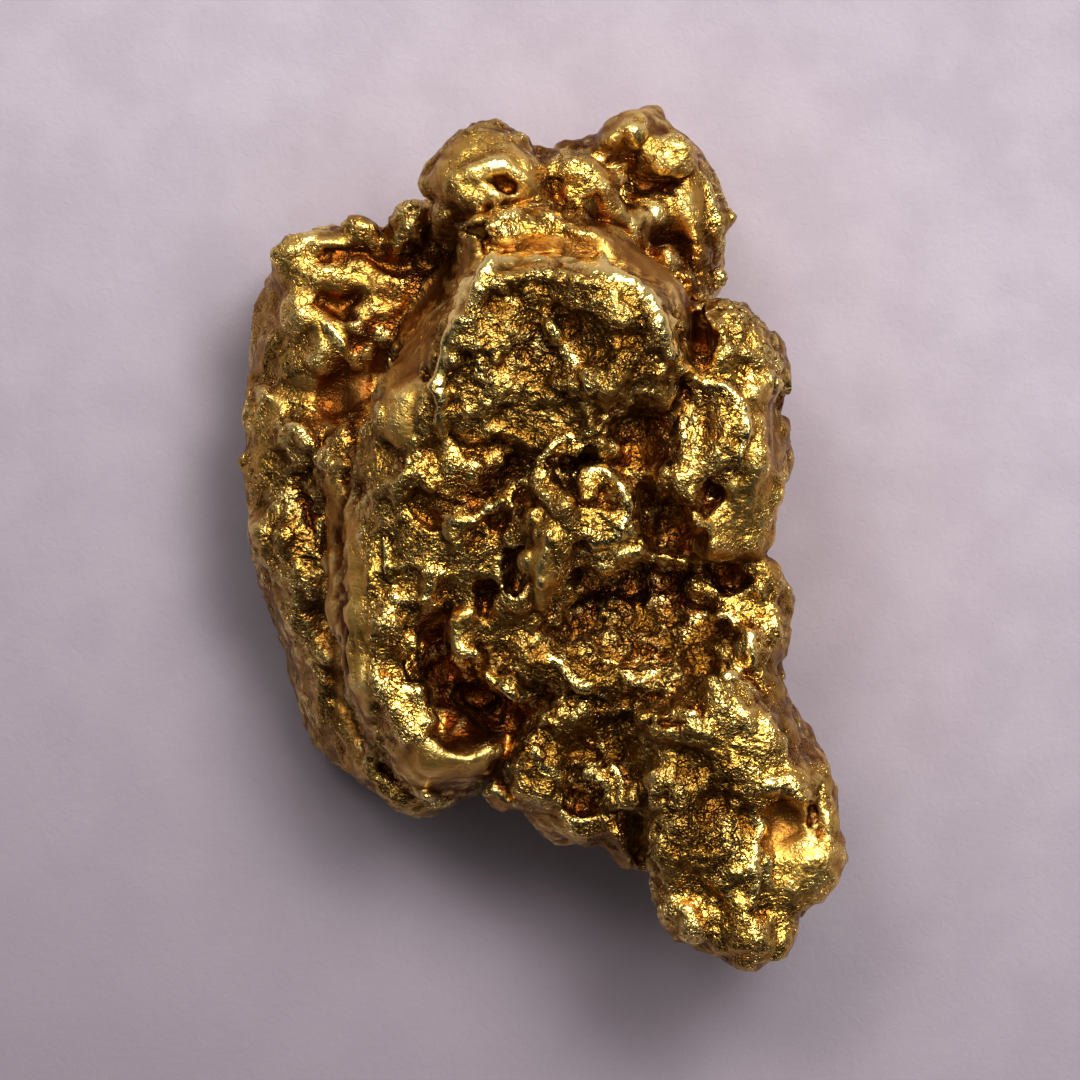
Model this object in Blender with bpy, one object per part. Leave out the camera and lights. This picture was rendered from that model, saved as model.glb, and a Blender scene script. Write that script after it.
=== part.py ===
"""A natural gold nugget, modelled as the one solid piece that it is.

The nugget lies on its worn underside. +Z is up, +Y runs along its length from the tail to the
back, and the origin is on the resting surface under the middle of its outline.

It is built as gold nuggets look to have grown: rounded slabs and lumps that melt into one
another, worn ridges between them, and hollows and creases pressed into them. Each of these is a
named line in the lists below. Together they give one distance field, whose surface is meshed.
"""

from typing import NamedTuple

import bpy
import numpy as np

MM = 0.001

# Driving dimensions, in millimetres.
LENGTH = 12.0
WIDTH = 8.2
HEIGHT = 5.5
GRID_STEP = 0.14
TRIANGLES = 9000

# The field's box stands this far outside the nugget on every side.
MARGIN = 0.6
FAR = 2.0
TINY = 0.001

GOLD = (0.83, 0.53, 0.13, 1.0)
GOLD_ROUGHNESS = 0.32


class Slab(NamedTuple):
    """A thick plate of gold with an outline seen from above and rounded edges.

    The outline is a closed chain of (x, y) points at the plate's widest level, half way between
    low and high. edge is how far in from the outline its top is reached. rise and lift tilt its
    top and its underside by this much for each millimetre along x and y from its middle.
    """

    name: str
    outline: tuple
    low: float
    high: float
    edge: float
    rise: tuple = (0.0, 0.0)
    lift: tuple = (0.0, 0.0)
    square: float = 2.3
    melt: float = 0.15


class Lump(NamedTuple):
    """An ellipsoid of gold, or of empty space where it is a hollow.

    at is its middle and size its half widths, in millimetres. turn turns it about Z, in degrees.
    square above 2 fills out its corners, and melt is the width over which it blends into what it
    meets.
    """

    name: str
    at: tuple
    size: tuple
    turn: float = 0.0
    square: float = 2.0
    melt: float = 0.25


class Ridge(NamedTuple):
    """A rounded ridge, or a groove, along a line of points (x, y, z, radius) in millimetres."""

    name: str
    points: tuple
    melt: float = 0.12


SLABS = (
    Slab(
        "left lobe",
        (
            (-2.1, 4.35),
            (-2.77, 4.42),
            (-3.2, 4.3),
            (-3.55, 3.95),
            (-3.8, 3.35),
            (-3.97, 2.67),
            (-3.94, 1.95),
            (-3.3, 1.65),
            (-1.8, 1.8),
            (-1.5, 3.3),
            (-1.7, 4.2),
        ),
        0.35,
        2.75,
        0.8,
        rise=(0.25, 0.1),
    ),
    Slab(
        "flank",
        (
            (-3.99, 2.1),
            (-4.1, 1.4),
            (-4.12, 0.8),
            (-4.03, 0.0),
            (-3.85, -0.95),
            (-3.66, -1.65),
            (-3.3, -2.45),
            (-2.94, -3.02),
            (-2.5, -3.5),
            (-2.05, -3.82),
            (-1.66, -3.87),
            (-1.3, -3.75),
            (-0.85, -3.5),
            (-0.7, -2.6),
            (-2.2, -1.2),
            (-2.4, 0.4),
            (-2.4, 2.1),
        ),
        0.45,
        2.35,
        0.65,
        rise=(0.2, 0.12),
    ),
    Slab(
        "back lobe",
        (
            (0.0, 5.15),
            (0.4, 5.42),
            (0.78, 5.52),
            (0.98, 5.8),
            (1.22, 6.02),
            (1.55, 5.98),
            (1.9, 5.69),
            (2.2, 5.36),
            (2.36, 4.93),
            (2.5, 4.6),
            (2.56, 4.1),
            (2.54, 3.5),
            (2.3, 3.1),
            (1.2, 3.2),
            (0.2, 4.2),
        ),
        0.6,
        3.05,
        0.55,
        rise=(0.05, -0.1),
    ),
    Slab(
        "shoulder",
        (
            (2.06, 3.2),
            (2.52, 3.28),
            (2.8, 3.1),
            (3.1, 2.8),
            (3.32, 2.45),
            (3.35, 2.1),
            (3.24, 1.7),
            (3.34, 1.25),
            (3.36, 0.85),
            (3.22, 0.5),
            (3.07, 0.21),
            (2.98, -0.15),
            (2.2, -0.4),
            (1.5, 0.3),
            (1.5, 1.6),
            (1.9, 2.4),
        ),
        1.9,
        4.45,
        0.5,
        rise=(-0.12, 0.0),
        square=2.4,
    ),
    Slab(
        "bridge",
        (
            (-1.2, 4.3),
            (-0.6, 4.55),
            (-0.03, 4.55),
            (0.54, 4.42),
            (0.98, 4.2),
            (1.3, 3.86),
            (1.68, 3.57),
            (1.95, 3.32),
            (2.05, 3.0),
            (1.7, 2.4),
            (-0.6, 2.6),
            (-1.3, 3.5),
        ),
        1.4,
        4.45,
        0.32,
        rise=(-0.12, 0.0),
        square=2.6,
        melt=0.1,
    ),
    Slab(
        "limb",
        (
            (-2.3, 2.25),
            (-2.45, 1.6),
            (-2.52, 0.9),
            (-2.8, 0.25),
            (-2.93, -0.4),
            (-2.94, -1.25),
            (-2.78, -2.1),
            (-2.4, -2.88),
            (-1.95, -3.42),
            (-1.6, -3.58),
            (-1.0, -3.46),
            (-0.6, -3.25),
            (-0.35, -2.7),
            (-0.5, -1.6),
            (-0.9, -0.2),
            (-0.9, 1.6),
            (-1.2, 2.2),
        ),
        1.3,
        3.95,
        0.75,
        rise=(0.06, 0.15),
        square=2.3,
        melt=0.12,
    ),
    Slab(
        "crown skirt",
        (
            (-0.8, 3.9),
            (0.0, 3.95),
            (0.75, 3.88),
            (1.35, 3.64),
            (1.8, 3.32),
            (2.0, 2.9),
            (2.02, 2.3),
            (1.75, 1.3),
            (0.2, 0.5),
            (-1.5, 0.3),
            (-2.25, 0.6),
            (-2.36, 1.6),
            (-2.3, 2.15),
            (-1.97, 2.5),
            (-1.65, 3.13),
            (-1.24, 3.56),
        ),
        2.0,
        4.85,
        0.7,
        rise=(0.0, 0.12),
        square=2.0,
        melt=0.35,
    ),
    Slab(
        "crown",
        (
            (-0.85, 3.84),
            (0.0, 3.9),
            (0.8, 3.84),
            (1.4, 3.58),
            (1.78, 3.22),
            (1.92, 2.8),
            (2.0, 2.2),
            (1.75, 1.5),
            (1.1, 1.0),
            (0.2, 0.9),
            (-0.9, 1.15),
            (-1.45, 1.45),
            (-1.62, 1.9),
            (-1.58, 2.5),
            (-1.45, 3.05),
            (-1.15, 3.48),
        ),
        2.8,
        5.2,
        0.4,
        rise=(0.0, 0.16),
        square=2.6,
        melt=0.14,
    ),
    Slab(
        "basin side",
        (
            (2.95, -0.1),
            (3.2, -0.42),
            (3.37, -0.75),
            (3.39, -1.15),
            (3.32, -1.75),
            (3.28, -2.3),
            (2.4, -2.8),
            (0.4, -2.6),
            (-0.2, -1.8),
            (0.0, 0.3),
            (1.6, 0.5),
        ),
        1.3,
        3.65,
        0.42,
        melt=0.1,
    ),
    Slab(
        "shelf",
        (
            (-0.8, -3.5),
            (-0.6, -3.74),
            (-0.25, -3.8),
            (-0.05, -3.92),
            (0.12, -4.14),
            (0.35, -4.22),
            (0.73, -4.24),
            (1.02, -4.48),
            (1.3, -4.68),
            (1.6, -4.85),
            (2.2, -3.6),
            (1.6, -2.2),
            (0.2, -2.0),
            (-0.55, -2.6),
        ),
        1.7,
        3.45,
        0.45,
        rise=(0.05, 0.25),
        square=2.5,
        melt=0.08,
    ),
    Slab(
        "tail",
        (
            (1.5, -4.75),
            (1.7, -5.0),
            (2.3, -5.2),
            (3.0, -5.2),
            (3.45, -5.12),
            (3.75, -5.03),
            (4.02, -4.77),
            (4.13, -4.38),
            (4.02, -3.9),
            (3.95, -3.35),
            (3.83, -3.05),
            (3.57, -2.57),
            (3.3, -2.1),
            (2.2, -1.7),
            (1.0, -2.4),
            (1.3, -3.5),
        ),
        1.4,
        4.05,
        0.6,
        rise=(-0.05, 0.17),
        lift=(0.1, -0.3),
        square=2.3,
        melt=0.15,
    ),
    Slab(
        "tail tip",
        (
            (1.52, -4.6),
            (1.6, -5.2),
            (1.98, -5.56),
            (2.5, -5.88),
            (2.87, -5.98),
            (3.2, -5.92),
            (3.36, -5.7),
            (3.5, -5.2),
            (3.6, -4.6),
            (3.1, -3.9),
            (2.0, -3.9),
        ),
        1.7,
        3.8,
        0.95,
        lift=(0.1, -0.3),
        square=2.1,
        melt=0.2,
    ),
)

MASSES = (
    Lump("heart", (-0.2, 0.5, 2.2), (2.9, 3.0, 2.0), square=2.4),
    Lump("back mass", (0.1, 3.3, 2.0), (2.0, 1.5, 1.6)),
    Lump("front mass", (1.1, -1.7, 2.0), (2.0, 1.5, 1.5), square=2.3),
    Lump("crown ear", (-2.12, 2.0, 3.55), (0.32, 0.42, 0.6), melt=0.1),
    Lump("crown brow", (0.55, 2.1, 4.5), (0.8, 0.7, 0.85), melt=0.2),
    Lump("nose", (0.4, 0.35, 3.9), (0.95, 0.6, 0.75), melt=0.2),
    Lump("top knob", (-0.73, 4.85, 3.2), (0.78, 0.72, 1.1), melt=0.1),
    Lump("knob cheek", (-1.2, 4.35, 3.35), (0.38, 0.35, 0.6), melt=0.1),
    Lump("knob root", (-0.8, 4.2, 2.2), (0.9, 0.8, 1.1)),
    Lump("connector", (-1.8, 4.3, 2.6), (0.4, 0.36, 0.5), melt=0.12),
    Lump("back bump", (1.45, 4.35, 2.85), (0.36, 0.3, 0.35), melt=0.1),
    Lump("back bump right", (1.75, 5.15, 2.95), (0.4, 0.35, 0.3), melt=0.1),
    Lump("back bump top", (1.25, 5.55, 2.75), (0.3, 0.4, 0.35), melt=0.1),
    Lump("left lobe bump", (-3.35, 2.95, 2.35), (0.34, 0.36, 0.35), melt=0.3),
    Lump("flank bump", (-3.3, 1.25, 2.4), (0.38, 0.4, 0.35), melt=0.12),
    Lump("flank bump low", (-3.35, 0.1, 2.15), (0.3, 0.35, 0.3), melt=0.1),
    Lump("shoulder step", (2.45, 1.45, 4.1), (0.5, 0.75, 0.5), turn=-10, melt=0.1),
    Lump("tail bulge", (2.75, -3.35, 3.85), (0.5, 0.4, 0.35), melt=0.12),
    Lump("tail bright bump", (3.15, -3.3, 3.95), (0.2, 0.16, 0.2), melt=0.08),
    Lump("tail heap", (2.0, -3.9, 3.75), (0.5, 0.6, 0.4), melt=0.12),
    Lump("tip left", (2.05, -5.05, 3.2), (0.5, 0.45, 0.6), melt=0.1),
    Lump("right base", (2.2, 1.3, 1.6), (0.95, 1.7, 1.3), turn=8, melt=0.2),
    Lump("right base knuckle", (2.85, 0.2, 1.75), (0.45, 0.6, 0.6), melt=0.12),
    Lump("right base bump", (2.75, 2.5, 1.5), (0.5, 0.55, 0.55), melt=0.12),
    Lump("basin base", (2.3, -1.2, 1.6), (0.95, 1.0, 0.8), melt=0.2),
    Lump("tail keel", (2.2, -3.3, 1.9), (0.7, 1.3, 0.8), turn=25, melt=0.3),
    Lump("tail throat", (1.2, -2.9, 1.7), (0.8, 0.7, 0.7), melt=0.3),
    Lump("back keel", (0.4, 4.75, 1.7), (0.75, 0.55, 0.9), melt=0.2),
    Lump("knob keel", (-1.1, 4.35, 1.4), (0.6, 0.5, 0.7), melt=0.2),
)

BELLIES = (
    Lump("belly under left lobe", (-2.6, 2.4, 0.85), (1.3, 1.6, 0.98), melt=0.5),
    Lump("belly under back", (1.0, 4.0, 0.85), (1.35, 1.35, 1.0), turn=20, melt=0.5),
    Lump("belly under flank", (-1.9, -1.9, 0.85), (1.5, 1.5, 0.98), turn=30, melt=0.5),
    Lump("belly under front", (1.8, -1.1, 0.8), (1.3, 1.5, 1.0), turn=-15, melt=0.5),
)

HOLLOWS = (
    Lump("pocket", (-1.2, -1.95, 4.0), (0.62, 0.95, 0.95), turn=20, melt=0.15),
    Lump("pocket deep", (-0.84, -2.25, 3.6), (0.36, 0.6, 1.1), turn=27, melt=0.12),
    Lump("pocket top", (-1.5, -1.45, 4.1), (0.4, 0.42, 0.8), turn=10, melt=0.15),
    Lump("basin", (1.3, -1.1, 4.05), (1.4, 0.95, 1.0), turn=-4, melt=0.12),
    Lump("basin undercut", (1.0, -0.55, 3.35), (0.95, 0.42, 0.5), melt=0.1),
    Lump("basin side pit", (2.55, -0.5, 3.6), (0.48, 0.26, 0.42), turn=-18, melt=0.15),
    Lump("crown dish", (0.15, 2.45, 6.15), (2.0, 1.7, 1.0), melt=0.1),
    Lump("crown dip", (1.15, 2.5, 5.55), (0.6, 0.35, 0.3), turn=-22, melt=0.2),
    Lump("throat", (1.35, 1.15, 4.9), (0.38, 0.7, 0.75), turn=-10, melt=0.12),
    Lump("throat low", (1.75, 0.15, 4.2), (0.35, 0.45, 0.7), turn=10, melt=0.12),
    Lump("brow cave", (0.4, 1.03, 4.75), (0.34, 0.16, 0.5), turn=12, melt=0.06),
    Lump("shoulder eye", (2.18, 2.72, 4.3), (0.12, 0.3, 0.5), turn=4, melt=0.08),
    Lump("shoulder dent", (2.36, 0.66, 4.4), (0.2, 0.18, 0.32), melt=0.12),
    Lump("knob pit", (-0.57, 4.83, 4.45), (0.3, 0.17, 0.32), turn=-30, melt=0.15),
    Lump("knob notch", (-0.95, 4.12, 4.0), (0.36, 0.16, 0.55), turn=38, melt=0.08),
    Lump("lobe hollow high", (-2.4, 3.82, 3.2), (0.65, 0.3, 0.55), turn=8, melt=0.25),
    Lump("lobe hollow mid", (-2.85, 3.3, 3.1), (0.4, 0.26, 0.42), turn=40, melt=0.2),
    Lump("left saddle", (-2.85, 2.0, 3.2), (1.0, 0.42, 0.75), turn=28, melt=0.3),
    Lump("back valley", (1.95, 3.85, 3.3), (0.36, 0.55, 0.5), turn=12, melt=0.3),
    Lump("back crease", (1.45, 4.83, 3.15), (0.45, 0.12, 0.26), turn=-5, melt=0.12),
    Lump("slope cave", (-1.45, 0.2, 4.5), (0.2, 0.32, 0.5), turn=35, melt=0.06),
    Lump("slope pit", (-0.75, 0.72, 4.8), (0.42, 0.17, 0.45), turn=12, melt=0.08),
    Lump("deep cave", (-0.33, -0.5, 4.2), (0.22, 0.42, 0.65), turn=-8, melt=0.08),
    Lump("cave left", (-0.82, -0.76, 4.1), (0.27, 0.24, 0.5), melt=0.08),
    Lump("slope slot", (-0.75, 0.0, 4.6), (0.5, 0.16, 0.5), turn=28, melt=0.08),
    Lump("shelf pit", (0.62, -2.92, 3.8), (0.38, 0.28, 0.45), turn=-20, melt=0.1),
    Lump("shelf hole", (0.58, -3.55, 3.3), (0.36, 0.18, 0.42), turn=-10, melt=0.08),
    Lump("shelf gap", (1.36, -4.27, 3.15), (0.2, 0.55, 0.75), turn=21, melt=0.1),
    Lump("tail valley", (3.4, -4.0, 4.5), (0.6, 0.46, 0.72), turn=-8, melt=0.15),
    Lump("tail slit", (3.75, -3.8, 3.85), (0.07, 0.25, 0.25), turn=-8, melt=0.06),
    Lump("tip dimple", (2.98, -5.08, 4.15), (0.3, 0.2, 0.3), turn=20, melt=0.2),
    Lump("underside hollow", (-0.1, 0.9, -0.2), (1.3, 1.5, 0.8), turn=20, melt=0.4),
    Lump("underside dent", (-2.9, -0.1, -0.1), (0.9, 0.8, 0.7), melt=0.3),
    Lump("right side cave", (3.1, 1.35, 2.35), (0.35, 0.55, 0.3), turn=10, melt=0.1),
    Lump("left side cave", (-4.0, 0.35, 1.1), (0.3, 0.6, 0.28), turn=-4, melt=0.1),
    Lump("tail side dent", (4.05, -3.6, 2.4), (0.3, 0.5, 0.35), melt=0.12),
    Lump("tail under dent", (2.6, -4.7, 1.5), (0.6, 0.7, 0.45), melt=0.2),
    Lump("back side cave", (0.35, 5.35, 1.9), (0.4, 0.3, 0.4), melt=0.1),
    Lump("front cave", (-0.1, -3.7, 1.9), (0.7, 0.4, 0.45), melt=0.15),
)

RIDGES = (
    Ridge(
        "left lobe rim",
        ((-3.45, 3.7, 2.2, 0.2), (-3.1, 4.08, 2.35, 0.22), (-2.5, 4.2, 2.5, 0.2), (-1.95, 4.2, 2.7, 0.2)),
    ),
    Ridge("lobe fold", ((-2.35, 3.1, 2.75, 0.2), (-2.7, 2.85, 2.65, 0.22), (-3.0, 2.5, 2.5, 0.2)), 0.25),
    Ridge(
        "outer fold",
        ((0.1, 5.05, 3.35, 0.26), (0.8, 4.7, 3.4, 0.26), (1.3, 4.15, 3.3, 0.24), (1.95, 3.45, 3.1, 0.22)),
    ),
    Ridge("back rim", ((2.3, 4.7, 2.6, 0.18), (2.36, 4.1, 2.6, 0.18), (2.34, 3.5, 2.5, 0.16))),
    Ridge("crown crest", ((0.12, 2.95, 5.22, 0.1), (0.25, 2.45, 5.25, 0.11), (0.72, 2.1, 5.2, 0.1))),
    Ridge(
        "brow ledge",
        ((-0.1, 0.75, 4.65, 0.12), (0.1, 1.15, 4.85, 0.12), (0.5, 1.5, 5.0, 0.12), (0.7, 1.6, 5.0, 0.1)),
    ),
    Ridge(
        "slope ridge",
        ((-1.25, 0.1, 4.25, 0.1), (-0.85, 0.35, 4.4, 0.1), (-0.5, 0.6, 4.5, 0.1), (-0.1, 0.8, 4.55, 0.1)),
        0.06,
    ),
    Ridge(
        "pocket wall",
        (
            (-1.25, -1.0, 4.0, 0.12),
            (-1.05, -1.5, 3.8, 0.14),
            (-0.65, -1.95, 3.7, 0.14),
            (-0.25, -2.2, 3.55, 0.16),
            (-0.2, -2.6, 3.3, 0.16),
        ),
        0.08,
    ),
    Ridge("tooth", ((0.06, 0.0, 4.5, 0.17), (0.02, -0.5, 4.3, 0.15), (0.0, -0.95, 3.95, 0.07)), 0.06),
    Ridge("nose left blob", ((-0.02, 0.75, 4.6, 0.2), (0.2, 0.55, 4.65, 0.2)), 0.08),
    Ridge("nose bulge", ((0.5, 0.25, 4.45, 0.26), (0.85, 0.2, 4.4, 0.22)), 0.08),
    Ridge(
        "nose curl",
        ((0.55, 0.72, 4.65, 0.13), (0.95, 0.8, 4.6, 0.12), (1.12, 0.5, 4.5, 0.11), (1.08, 0.15, 4.4, 0.12)),
        0.06,
    ),
    Ridge("overhang edge", ((0.3, -0.15, 4.0, 0.13), (1.0, -0.25, 3.9, 0.13), (1.9, -0.3, 3.8, 0.14)), 0.3),
    Ridge(
        "basin rim",
        ((2.85, -0.3, 3.4, 0.18), (3.12, -0.75, 3.4, 0.17), (3.13, -1.3, 3.4, 0.16), (2.95, -1.9, 3.5, 0.16)),
    ),
    Ridge(
        "basin curl",
        ((2.1, -1.15, 3.5, 0.12), (2.5, -1.05, 3.6, 0.12), (2.8, -1.3, 3.6, 0.12), (2.65, -1.75, 3.6, 0.12)),
        0.08,
    ),
    Ridge(
        "mid ledge",
        ((0.1, -1.6, 3.5, 0.1), (0.5, -1.95, 3.6, 0.12), (1.3, -2.1, 3.65, 0.12), (2.6, -2.15, 3.7, 0.12)),
    ),
    Ridge("shelf fold", ((-0.17, -2.85, 3.55, 0.12), (0.1, -3.2, 3.6, 0.12), (0.65, -3.52, 3.5, 0.1)), 0.08),
    Ridge("shelf hook", ((0.85, -3.2, 3.5, 0.1), (1.0, -3.55, 3.4, 0.1), (0.85, -3.92, 3.2, 0.1)), 0.06),
    Ridge(
        "shelf left fold",
        ((-0.25, -2.9, 3.4, 0.12), (-0.42, -3.3, 3.2, 0.12), (0.0, -3.75, 2.9, 0.12)),
        0.08,
    ),
    Ridge("tail rim", ((3.45, -3.1, 3.8, 0.12), (3.8, -3.45, 3.7, 0.12), (3.9, -3.95, 3.6, 0.12)), 0.08),
    Ridge("left side fold", ((-3.75, 2.9, 1.5, 0.2), (-3.95, 1.6, 1.7, 0.18), (-3.85, 0.4, 1.75, 0.2)), 0.15),
    Ridge("left low fold", ((-3.75, 0.1, 0.9, 0.2), (-3.55, -1.2, 0.85, 0.2), (-2.9, -2.6, 0.9, 0.2)), 0.15),
    Ridge("right side fold", ((3.1, 2.4, 2.6, 0.18), (3.15, 1.5, 2.95, 0.16), (3.05, 0.4, 2.7, 0.18)), 0.12),
    Ridge("tail side fold", ((3.6, -2.9, 2.6, 0.2), (3.8, -3.9, 2.9, 0.18), (3.6, -4.9, 2.7, 0.2)), 0.12),
    Ridge("back side fold", ((2.2, 4.9, 1.7, 0.2), (1.5, 5.6, 1.5, 0.2), (0.7, 5.3, 1.3, 0.2)), 0.15),
)

GROOVES = (
    Ridge(
        "flank groove",
        ((-2.75, 1.5, 2.7, 0.14), (-3.0, 0.3, 2.55, 0.1), (-3.05, -1.0, 2.4, 0.1), (-2.8, -2.3, 2.25, 0.09)),
    ),
    Ridge("flank groove low", ((-2.8, -2.3, 2.25, 0.09), (-2.2, -3.25, 2.15, 0.08), (-1.4, -3.62, 2.1, 0.07))),
    Ridge("crown foot groove", ((-1.95, 3.1, 3.2, 0.16), (-1.4, 3.75, 3.4, 0.14), (-1.0, 4.0, 3.8, 0.08))),
    Ridge("crown back groove", ((-0.7, 4.0, 4.6, 0.06), (0.4, 4.02, 4.55, 0.06), (1.3, 3.75, 4.4, 0.06))),
    Ridge("fold groove", ((0.2, 4.75, 3.7, 0.08), (0.9, 4.4, 3.7, 0.08), (1.35, 3.95, 3.6, 0.08))),
    Ridge("shelf slit", ((-0.3, -2.3, 3.4, 0.07), (-0.45, -2.8, 3.2, 0.1), (-0.55, -3.4, 2.8, 0.1))),
    Ridge("mid slit", ((0.9, -2.6, 3.55, 0.1), (1.5, -2.62, 3.6, 0.11), (2.1, -2.55, 3.7, 0.08))),
    Ridge("spine groove", ((2.66, -3.95, 4.2, 0.08), (2.66, -4.4, 4.12, 0.09), (2.66, -4.9, 4.0, 0.07))),
    Ridge("tip crease", ((2.4, -4.95, 3.9, 0.05), (2.62, -5.3, 3.7, 0.06), (2.55, -5.65, 3.4, 0.05))),
    Ridge("shoulder crease", ((3.0, 2.7, 3.6, 0.07), (3.25, 2.1, 3.3, 0.08), (3.2, 1.6, 3.2, 0.06))),
)


class Noise(NamedTuple):
    """One layer of relief: bumps of this size, this high, all in millimetres."""

    size: float
    height: float
    seed: int


# WARPS bends every feature a little, LIFT also raises and lowers them above LIFT_FROM, CRUMBLE
# breaks the edges of hollows and ridges, and RELIEF is laid over the finished form. KNUCKLES does
# the same with rounded swellings that meet in creases.
WARPS = (Noise(1.3, 0.1, 11), Noise(0.55, 0.06, 23))
LIFT = Noise(1.5, 0.26, 53)
LIFT_FROM = 1.5
CRUMBLE = Noise(0.36, 0.13, 61)
RELIEF = (Noise(1.7, 0.1, 37), Noise(0.75, 0.06, 31), Noise(0.4, 0.04, 47))
KNUCKLES = (Noise(0.9, 0.14, 83), Noise(0.5, 0.09, 89))
CREASE_LEVEL = 0.3


def melted(a, b, width):
    """The union of two distance fields, with a fillet of this width between them."""
    near = np.clip(width - np.abs(a - b), 0, None) / width
    return np.minimum(a, b) - near * near * width / 4


def carved(a, b, width):
    """Field a with field b cut from it, and the edge rounded over this width."""
    return -melted(-a, b, width)


def lattice(i, j, k, seed):
    """A repeatable number from -1 to 1 for each whole-number lattice point."""
    mixed = i * 374761393 + j * 668265263 + k * 1274126177 + seed * 974634777
    mixed = (mixed ^ (mixed >> 13)) & 0x7FFFFFFF
    mixed = (mixed * 1103515245 + 12345) & 0x7FFFFFFF
    mixed = (mixed ^ (mixed >> 15)) & 0xFFFFFF
    return mixed / 0x7FFFFF - 1


def smooth_noise(x, y, z, noise):
    """Smooth noise from about -1 to 1, with bumps of noise.size."""
    place = [axis / noise.size + 100 for axis in (x, y, z)]
    cell = [np.floor(axis).astype(np.int64) for axis in place]
    part = [axis - whole for axis, whole in zip(place, cell)]
    ease = [t * t * t * (t * (6 * t - 15) + 10) for t in part]
    total = 0
    for dx in (0, 1):
        for dy in (0, 1):
            for dz in (0, 1):
                weight = 1
                for t, d in zip(ease, (dx, dy, dz)):
                    weight = weight * (t if d else 1 - t)
                total = total + weight * lattice(cell[0] + dx, cell[1] + dy, cell[2] + dz, noise.seed)
    return total


def rounded(shares, halves, power):
    """Distance to a rounded solid, from each axis' share of its half width there."""
    total = sum(share**power for share in shares) + 1e-9
    reach = total ** (1 / power)
    slopes = [(share / reach) ** (power - 1) / half for share, half in zip(shares, halves)]
    return (reach - 1) / np.sqrt(sum(slope * slope for slope in slopes) + 1e-9)


def outline_distance(x, y, outline):
    """Distance in plan to a closed outline, below 0 inside it."""
    nearest = np.full(x.shape, FAR * FAR)
    inside = np.zeros(x.shape, bool)
    for start, end in zip(outline, outline[1:] + outline[:1]):
        run = np.subtract(end, start)
        across, up = x - start[0], y - start[1]
        share = np.clip((across * run[0] + up * run[1]) / run.dot(run), 0, 1)
        nearest = np.minimum(nearest, (across - share * run[0]) ** 2 + (up - share * run[1]) ** 2)
        if run[1]:
            crosses = (y >= min(start[1], end[1])) & (y < max(start[1], end[1]))
            inside ^= crosses & (across < up * run[0] / run[1])
    return np.where(inside, -1, 1) * np.sqrt(nearest)


def slab_distance(x, y, z, slab):
    """Distance to a slab's surface, close to true near that surface."""
    middle = np.mean(slab.outline, axis=0)
    top = slab.high + slab.rise[0] * (x - middle[0]) + slab.rise[1] * (y - middle[1])
    bottom = slab.low + slab.lift[0] * (x - middle[0]) + slab.lift[1] * (y - middle[1])
    half = (top - bottom) / 2
    across = np.clip(outline_distance(x, y, slab.outline) / slab.edge + 1, 0, None)
    return rounded((across, np.abs(z - bottom - half) / half), (slab.edge, half), slab.square)


def lump_distance(x, y, z, lump):
    """Distance to a lump's surface, close to true near that surface."""
    turn = np.radians(lump.turn)
    x, y, z = x - lump.at[0], y - lump.at[1], z - lump.at[2]
    x, y = x * np.cos(turn) + y * np.sin(turn), y * np.cos(turn) - x * np.sin(turn)
    shares = [np.abs(axis) / half for axis, half in zip((x, y, z), lump.size)]
    return rounded(shares, lump.size, lump.square)


def ridge_distance(x, y, z, ridge):
    """Distance to a chain of round-ended cones along the ridge's points."""
    nearest = FAR
    for start, end in zip(ridge.points, ridge.points[1:]):
        along = np.subtract(end[:3], start[:3])
        offsets = (x - start[0], y - start[1], z - start[2])
        share = np.clip(sum(o * a for o, a in zip(offsets, along)) / along.dot(along), 0, 1)
        gap = np.sqrt(sum((o - share * a) ** 2 for o, a in zip(offsets, along)))
        nearest = np.minimum(nearest, gap - (start[3] + share * (end[3] - start[3])))
    return nearest


DISTANCES = {Slab: slab_distance, Lump: lump_distance, Ridge: ridge_distance}


def reach_of(feature):
    """The lowest and highest corner of the box that a feature can touch."""
    if isinstance(feature, Slab):
        plan = np.array(feature.outline)
        low, high = [*plan.min(0), feature.low - 1], [*plan.max(0), feature.high + 1]
        radius = 0
    elif isinstance(feature, Lump):
        low = high = feature.at
        radius = max(feature.size)
    else:
        points = np.array(feature.points)
        low, high = points[:, :3].min(0), points[:, :3].max(0)
        radius = points[:, 3].max()
    spread = radius + 2 * feature.melt + 3 * GRID_STEP
    return np.subtract(low, spread), np.add(high, spread)


def combine(field, axes, warped, features, join, crumble=0.0):
    """Joins each feature to the field, or cuts it out, inside the box that it can touch."""
    for feature in features:
        low, high = reach_of(feature)
        span = tuple(slice(*np.searchsorted(axis, (lo, hi))) for axis, lo, hi in zip(axes, low, high))
        block = DISTANCES[type(feature)](*(part[span] for part in warped), feature)
        if np.ndim(crumble):
            block = block + crumble[span]
        field[span] = join(field[span], block, feature.melt)


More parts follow.
